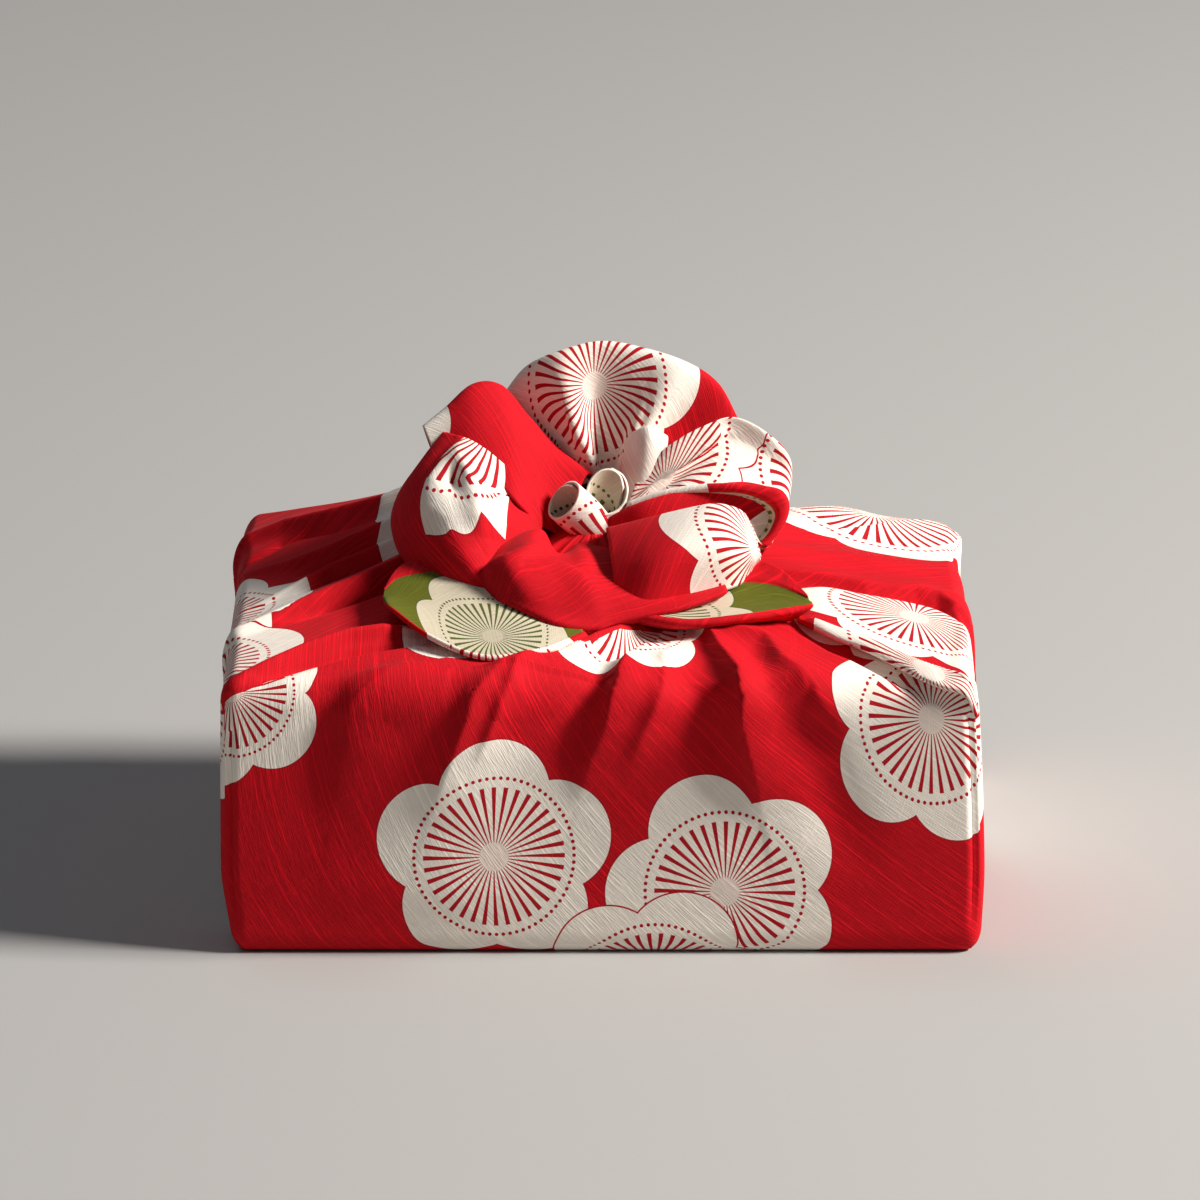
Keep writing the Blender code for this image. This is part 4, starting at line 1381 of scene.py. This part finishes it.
BODY_BLOSSOMS = {
    Panel.FRONT: (
        Blossom(-41, 139, 20), Blossom(7, 125, 0, 0.77, 0.8, (NECK_FOLD,)),
        Blossom(38.5, 21.4, 19, 1.0, 1.055), Blossom(-34.6, 33.8, 0, 1.0, 1.06),
        Blossom(16.5, -15, -25),
        Blossom(-118, 89, 18, 0.8, 0.88, (BAND_FRONT,)),
        Blossom(105.3, 79.4, -13, 0.9, 1.12),
    ),
    Panel.RIGHT: (
        Blossom(-105, 77, -13), Blossom(-35, 111, 12, 1.0, 1.0, (FLAP_BEHIND,)),
        Blossom(77, 118, 31, 1.1, 1.25), Blossom(48, 24, 6),
        Blossom(16, 44, 30),
    ),
    Panel.BACK: (
        Blossom(-93, 100, 13, 1.25, 1.1), Blossom(-30, 34, 12), Blossom(8, 60, -14),
        Blossom(82, 26, 30), Blossom(64, 118, 4),
    ),
    Panel.LEFT: (
        Blossom(-18, 170, 0), Blossom(18, 79, 4),
        Blossom(63, 79, 24, 1.0, 1.0, (BAND_BACK,)),
        Blossom(-34, 18, 10), Blossom(-84, 14, 40), Blossom(30, -8, 0),
    ),
}

# The mouth of the right petal, set where the photograph shows it. In pixels, from its left end
# round to its lower right: the hem's outer edge, its inner edge, and the depth of both in mm
MOUTH_RIM = (
    ((628, 503), (630, 508.5), -10), ((660, 492), (662, 498), -11),
    ((695.5, 486), (696, 491.5), -12.5), ((725, 484.5), (726, 491), -14),
    ((753, 486.2), (745, 492.5), -15), ((775.7, 489.5), (761, 497.9), -15.5),
    ((785, 496), (772, 505.3), -16), ((788, 507), (776.7, 514.7), -16.5),
    ((785, 520), (774, 525), -17), ((777.6, 533), (769, 535), -18),
    ((766.4, 546), (760.8, 543.6), -19),
)
# The pixel that the lining runs to, and how far its near and its deep row go there
MOUTH_MIDDLE = (748, 518.02)
LINING_SHARES = (0.3, 0.8)
# Left of a pixel the lining hangs straight down instead: steps in pixels to the two rows
LINING_DROPS = ((690, (1, 4), (2, 9)), (740, (2, 6), (5, 18.1)))
# How far each column of the hem and the lining lies behind the hem's outer edge, in mm
HEM_DEPTHS = (4.0, 0.0, -1.2, -0.6)
LINING_DEPTHS = (4.5, 8.0)


def mouth_lining(outer: tuple, inner: tuple) -> list[tuple[float, float]]:
    """Choose the near and the deep place of the lining behind a place of the hem.

    Args:
        outer: The hem's outer edge, in pixels.
        inner: Its inner edge, in pixels.

    Returns:
        Two places, in pixels.
    """
    for limit, *steps in LINING_DROPS:
        if outer[0] < limit:
            return [(inner[0] + right, inner[1] + down) for right, down in steps]
    right, down = MOUTH_MIDDLE[0] - inner[0], MOUTH_MIDDLE[1] - inner[1]
    return [(inner[0] + right * share, inner[1] + down * share) for share in LINING_SHARES]


def mouth_rows() -> tuple:
    """Set the rows of the mouth's hem and its lining on their sight lines.

    Returns:
        Rows of six places: behind, outer edge, crest, inner edge, near lining, deep lining.
    """
    studio = Studio()
    rows = []
    for outer, inner, depth in MOUTH_RIM:
        crest = ((outer[0] + inner[0]) / 2, (outer[1] + inner[1]) / 2)
        pixels = [outer, outer, crest, inner, *mouth_lining(outer, inner)]
        rows.append(tuple(studio.sight(pixel, depth + behind)
                          for pixel, behind in zip(pixels, HEM_DEPTHS + LINING_DEPTHS)))
    return tuple(rows)


# The fold over the front right corner on the plan: its back edge, its crease and its front edge.
# A third number on the front edge is its height, where it hangs below the top
FLAP_LINES = (
    ((60, -15), (62, -40), (62, -46)),
    ((67, -10.6), (67.3, -45.6), (67.1, -52.1)),
    ((73, -8.2), (74.5, -50), (74.2, -59.5)),
    ((83.3, -9.7), (81.6, -55), (81, -64.8)),
    ((94.6, -10.8), (91.5, -64.2), (91.1, -75.6)),
    ((105.8, -14), (99.9, -72.3), (99.4, -85.2)),
    ((112.9, -21.9), (107.4, -78.2), (106.6, -88.6, 90.6)),
    ((116.4, -33.3), (114, -84), (113.4, -88.8, 88.2)),
)
# Its last row hangs down the side
FLAP_END = ((117.5, -43, 83), (117.5, -48, 83), (117.5, -56, 83), (117.5, -64, 83),
            (117.5, -80, 82), (117.5, -83, 82), (117.2, -86.5, 80), (117.2, -82.5, 78))
# How far the panel swells over the top, at two shares of the way from the back edge to the crease
PANEL_SWELL = ((0.16, 0.9), (0.6, 1.7))
# How far the crease, the strip in front of it and the front edge stand over the top
CREASE_RISE = 2.2
STRIP_RISE = 2.6
FRONT_RISE = 2.3
# The back edge lies this deep in the top, and its hidden hem this far behind and below the top
BACK_SINK = 1.2
HEM_BEHIND = 4.0
HEM_SINK = 3.0
# The cloth turned under lies this far behind and below the front edge
UNDER_BEHIND = 5.0
UNDER_SINK = 2.4
# The knot holds the fold's first row down to this share of its swell
FIRST_SHARE = 0.35


def flap_rows() -> tuple:
    """Lay the fold over the front right corner on the wrapped top.

    Returns:
        Rows of eight places: hidden, back edge, two on the panel, crease, strip, front edge, under.
    """
    top = WrappedBody().top_height
    rows = []
    for number, (back, crease, front) in enumerate(FLAP_LINES):
        swell = FIRST_SHARE if number == 0 else 1.0
        height = front[2] if len(front) == 3 else top(*front) + FRONT_RISE
        hidden = (back[0], back[1] + HEM_BEHIND)
        row = [(*hidden, top(*hidden) - HEM_SINK), (*back, top(*back) - BACK_SINK)]
        for share, rise in PANEL_SWELL:
            x, y = (start + (end - start) * share for start, end in zip(back, crease))
            row.append((x, y, top(x, y) + rise * swell))
        row.append((*crease, top(*crease) + CREASE_RISE * swell))
        x, y = ((start + end) / 2 for start, end in zip(crease, front))
        row.append((x, y, (top(*crease) + height) / 2 + STRIP_RISE * swell))
        row += [(*front[:2], height), (front[0], front[1] + UNDER_BEHIND, height - UNDER_SINK)]
        rows.append(tuple(to_tenths(place) for place in row))
    return (*rows, FLAP_END)


KNOT_SHEETS = (
    # root, belly, rim, back, foot
    KnotSheet("back_petal", (
        ((-13, 13, 120), (-23, 17, 138), (-32, 24, 152), (-24, 36, 124), (-20, 24, 110)),
        ((-10, 11, 124), (-17, 15, 147), (-25, 23, 161), (-18, 39, 128), (-14, 27, 113)),
        ((-6, 10, 126), (-10, 11, 149), (-15, 20, 167), (-10, 42, 130), (-8, 29, 114)),
        ((-2, 12, 127), (-2, 17, 149), (-1, 22, 170), (-1, 44, 132), (-1, 30, 115)),
        ((2, 12, 127), (9, 13, 150), (13, 21, 168), (10, 43, 130), (8, 29, 114)),
        ((5, 10, 127), (16, 8, 149), (27, 18, 164), (20, 40, 126), (16, 26, 112)),
        ((8, 10, 126), (23, 14, 143), (37, 18, 157), (28, 37, 122), (22, 23, 110)),
        ((10, 12, 122), (29, 16, 138), (44, 21, 143), (34, 32, 118), (26, 18, 108)),
    ), face_blossoms=(Blossom(0.41, 0.3225, 0),),
        pleats=(Pleat(((0.26, 0.30), (0.285, 0.165), (0.35, 0.0375)), (0.6, 3.0, 3.0), 7, 1.5),
                Pleat(((0.62, 0.2925), (0.667, 0.15), (0.72, 0.045)), (0.4, 2.4, 2.6), 1.6, 6))),
    # front edge, trough, roll, back, foot
    KnotSheet("right_petal", thickness=0.3, rows=(
        ((6, -8, 118), (9, -3, 126), (12, 2, 133), (12, 14, 118), (10, 8, 112)),
        ((17, -12, 127), (21, -2, 131), (22, 1, 142), (24, 16, 118), (19, 9, 110)),
        ((27, -12, 130), (32, 2, 138), (33, 4, 147), (34, 20, 116), (28, 11, 107)),
        ((42, -10, 130), (40, 5, 142), (43, 7, 148), (44, 20, 114), (36, 11, 105)),
        ((52, -6, 128), (54, 2, 136), (53, 6, 143), (50, 19, 111), (42, 10, 104)),
        ((58, -7, 125), (60, 0, 129), (60, 5, 134), (54, 15, 109), (45, 7, 103)),
        ((54, -12, 115), (58, -3, 116), (58, 4, 117), (52, 9, 107), (44, 2, 103)),
    ), face_blossoms=(Blossom(0.99, 0.483, -8, 1.1, 1.1), Blossom(0.144, 0.24, 0)),
        pleats=(Pleat(((0.05, 0.1275), (0.10, 0.21), (0.19, 0.2625), (0.30, 0.2775),
                       (0.42, 0.30), (0.50, 0.3075)),
                      (1.4, 2.6, 3.0, 2.8, 2.0, 0.4), 3.6, 3.2),),
        reverse_blossoms=(Blossom(0.144, 0.24, 0),), turned_lift=0.0,
        patches=(Patch(Side.REVERSE, (0.0, 0.55), (0.075, 0.4125)),)),
    # outer foot, rim, trough, lip, belly, foot
    KnotSheet("front_right_petal", face_turn=-1.0, rows=(
        ((2, -4, 112), (0, -11, 120), (1, -15, 117), (1, -24, 121), (3, -42, 114), (5, -50, 103)),
        ((14, 0, 112), (12, -14, 127), (14, -20, 119), (15, -27, 126), (15, -47, 119),
         (14, -51, 103)),
        ((30, 4, 110), (29, -11, 131), (29, -20, 118), (29, -28, 130), (27, -46, 122),
         (26, -46, 106)),
        ((42, 4, 108), (37, -10, 132), (38, -19, 116), (37, -28, 131), (39, -42, 122),
         (40, -38, 106)),
        ((48, 0, 108), (47, -9, 132), (46, -19, 114), (44, -26, 128), (47, -33, 117),
         (46, -28, 106)),
        ((50, -4, 107), (57, -8, 128), (51, -17, 113), (47, -24, 122.5), (49, -28, 114),
         (46, -24, 106)),
        ((50, -10, 107), (58, -12, 121), (53, -17, 113), (49, -24, 117), (50, -26, 112),
         (45, -20, 106)),
    ), face_blossoms=(Blossom(0.725, 0.775, -30, 0.9),),
        reverse_blossoms=(Blossom(0.7, 0.4, 0),)),
    # hem: behind, outer edge, crest, inner edge; lining: near, deep
    KnotSheet("mouth_hem", mouth_rows(), face_turn=-1.0, cell=0.8, turned_lift=0.0,
              face_blossoms=(Blossom(-0.79, 0.3, -18, 2.0, 2.0),
                             Blossom(0.66, 1.5, 0, 0.9, 0.9, (((-0.3, 0.62), (1.3, 0.62)),))),
              patches=(Patch(Side.FACE, (0.0, 1.0), (0.60, 1.0)),)),
    # the fold over the front right corner, its columns as flap_rows gives them
    KnotSheet("right_flap", flap_rows(), face_turn=-1.0, thread_turn=-40.0,
              face_blossoms=(Blossom(0.57, 0.35, 20, 1.15, 1.15, (((1.3, 0.62), (-0.3, 0.62)),)),
                             Blossom(0.66, 0.76, 0, 1.35, 0.9,
                                     (((-0.3, 0.62), (1.3, 0.62)),)))),
    # inner, top, belly, foot, under
    KnotSheet("front_petal", face_turn=-1.0, rows=(
        ((-34, -10, 108), (-38, -20, 114), (-39, -34, 112), (-37, -40, 105), (-30, -30, 100)),
        ((-26, -10, 110), (-29, -19, 117), (-33, -38, 116), (-31, -48, 105), (-24, -38, 98)),
        ((-20, -10, 110), (-20, -18, 119), (-26, -42, 118), (-23, -54, 103), (-18, -42, 96)),
        ((-13, -8, 108), (-15, -17, 109), (-15, -38, 117.5), (-13, -59, 100), (-10, -44, 94)),
        ((-8, -8, 110), (-8, -18, 114.5), (-6, -44, 115.5), (-3, -58, 99), (-2, -42, 94)),
        ((0, -10, 110), (0, -20, 114), (2, -44, 112.5), (6, -55, 101), (6, -42, 95)),
        ((20, -14, 108), (22, -28, 110), (24, -42, 108), (24, -52, 104), (22, -40, 97)),
        ((34, -14, 108), (36, -24, 109), (38, -36, 108), (39, -44, 107), (34, -34, 100)),
    ), pleats=(Pleat(((0.05, 0.56), (0.2, 0.50), (0.35, 0.40), (0.44, 0.30)), (1.6, 3.0, 2.6, 0.4),
                     5.0, 2.6, 1.4),
               Pleat(((0.1, 0.44), (0.3, 0.48), (0.6, 0.48), (0.9, 0.46)), (-1.0, -2.8, -2.8, -0.6),
                     7, 7),
               Pleat(((0.02, 0.73), (0.4, 0.735), (0.7, 0.735), (0.98, 0.73)), (0.9, 1.5, 1.5, 0.9),
                     1.6, 1.9, 1.4))),
    # root, belly, rim, back
    KnotSheet("left_petal", face_turn=-1.0, rows=(
        ((-22, -6, 128), (-38, -6, 142), (-52, 2, 145), (-40, 16, 120)),
        ((-20, -10, 122), (-46, -14, 136), (-59, -2, 136), (-42, 12, 112)),
        ((-20, -14, 118), (-49, -24, 129), (-66, -4, 126), (-46, 8, 106)),
        ((-22, -18, 114), (-47, -30, 122), (-68, -8, 117), (-48, 2, 100)),
        ((-24, -20, 110), (-43, -36, 115), (-63, -18, 108), (-44, -6, 98)),
        ((-26, -26, 106), (-37, -40, 108), (-50, -30, 104), (-38, -14, 98)),
        ((-24, -28, 104), (-30, -40, 103), (-36, -36, 101), (-32, -24, 98)),
    ), face_blossoms=(Blossom(-0.135, 0.394, 63, 1.25, 1.12,
                              (((1.2, 0.46), (-0.2, 0.46)), ((-0.2, 0.13), (1.2, 0.13)))),),
        pleats=(Pleat(((0.03, 0.47), (0.10, 0.39), (0.16, 0.317), (0.275, 0.25), (0.39, 0.233),
                       (0.52, 0.233)), (1.0, 3.2, 4.2, 4.6, 4.0, 1.0), 3.6, 9, 1.5),
                Pleat(((0.03, 0.44), (0.12, 0.445), (0.24, 0.445), (0.34, 0.44)),
                      (0.6, 1.4, 1.6, 0.4), 2.6, 6),
                Pleat(((0.14, 0.375), (0.19, 0.345), (0.25, 0.30)), (-0.8, -3.2, -0.8), 3.0, 2.6))),
    # front foot, crest, back, foot
    KnotSheet("back_left_petal", (
        ((-54, -2, 139), (-58, 4, 147), (-52, 14, 128), (-42, 12, 119)),
        ((-49, -3, 141), (-51, 7, 152), (-47, 20, 126), (-38, 16, 118)),
        ((-42, -7, 138), (-42, 11, 159), (-40, 27, 124), (-32, 20, 117)),
        ((-33, -11, 132), (-33, 13, 158), (-30, 30, 122), (-24, 21, 116)),
        ((-27, -14, 126), (-25, 11, 149), (-20, 27, 120), (-16, 19, 115)),
        ((-20, -10, 118), (-16, 8, 139), (-10, 22, 118), (-8, 15, 113)),
        ((-13, -6, 113), (-5, 4, 131), (0, 14, 116), (0, 9, 112)),
    ), face_blossoms=(Blossom(-0.43, 0.167, 0),)),
    # left, middle, right
    KnotSheet("small_fold", face_turn=-1.0, rows=(
        ((4, 4, 116), (10, -1, 118), (16, 1, 114)),
        ((7, 5, 138), (13.5, -1, 141), (20, 1, 138)),
        ((9.5, 7, 144), (15, 4, 147), (20.5, 6, 143)),
        ((10, 13, 136), (15, 13, 138), (19, 13, 134)),
    ), face_blossoms=(Blossom(0.4, 4.45, 36, 2.0, 2.0),)),
    # back rim, bottom of the bowl, front rim, tucked under
    KnotSheet("left_leaf", (
        ((-69.5, -36, 105), (-70, -39, 104.5), (-69.5, -42, 103.5), (-65, -42, 101)),
        ((-65, -26, 109), (-65, -42, 104.5), (-67, -53, 104.5), (-61, -49, 101)),
        ((-54, -21, 112), (-52, -48, 103.6), (-55, -67, 100), (-48, -58, 98)),
        ((-44, -23, 113), (-40, -52, 103), (-38, -77, 96.5), (-32, -63, 96)),
        ((-30, -24, 110), (-26, -52, 103), (-20, -74, 97.5), (-14, -60, 96)),
        ((-14, -20, 105), (-10, -44, 102.5), (-6, -62, 99), (-2, -54, 96)),
    ), face_blossoms=(Blossom(0.62, 0.78, 0, 1.5, 1.0),),
        reverse_blossoms=(Blossom(0.655, 0.485, 12, 0.72, 0.84),),
        patches=(Patch(Side.REVERSE, (0.0, 0.6), (0.0, 0.11), printed=False),
                 Patch(Side.REVERSE, (0.0, 1.0), (0.645, 1.0)))),
    # back rim, bottom of the bowl, front rim, tucked under
    KnotSheet("right_leaf", (
        ((10, -24, 106), (12, -40, 103), (12, -54, 102), (10, -46, 97)),
        ((26, -20, 108), (27, -42, 103), (26, -59, 101.5), (22, -50, 97)),
        ((42, -20, 110), (41, -42, 103), (43, -57, 102.5), (38, -48, 97)),
        ((55, -28, 110), (54, -42, 103.5), (57, -52, 103), (52, -44, 97)),
        ((65, -42, 105), (65.5, -44, 104), (66, -46, 103), (60, -44, 98)),
    ), reverse_blossoms=(Blossom(0.0, 0.55, 0, 1.0, 0.8),),
        patches=(Patch(Side.REVERSE, (0.0, 1.0), (0.0, 0.17), printed=False),
                 Patch(Side.REVERSE, (0.0, 1.0), (0.60, 1.0), printed=False))),
)

TIPS = (
    RolledTip("left_tip", (1, -11, 114), (-13, -10, 126.5), (4.5, 6.4, 6.6), 3.0),
    RolledTip("right_tip", (-3, -6, 113), (1.0, -9, 129.5), (4.5, 6.4, 6.2), 6.0),
)


def main() -> None:
    """Build the wrap piece by piece, then the studio, and report each piece."""
    cloth = Cloth()
    pieces = [WrappedBody(), KnotGathers(), *KNOT_SHEETS, *TIPS]
    for piece in pieces:
        made = piece.build(cloth)
        for obj in made if isinstance(made, list) else [made]:
            log.info("%s: %d faces", obj.name, len(obj.data.polygons))
    Studio().build()


if __name__ == "__main__":
    main()
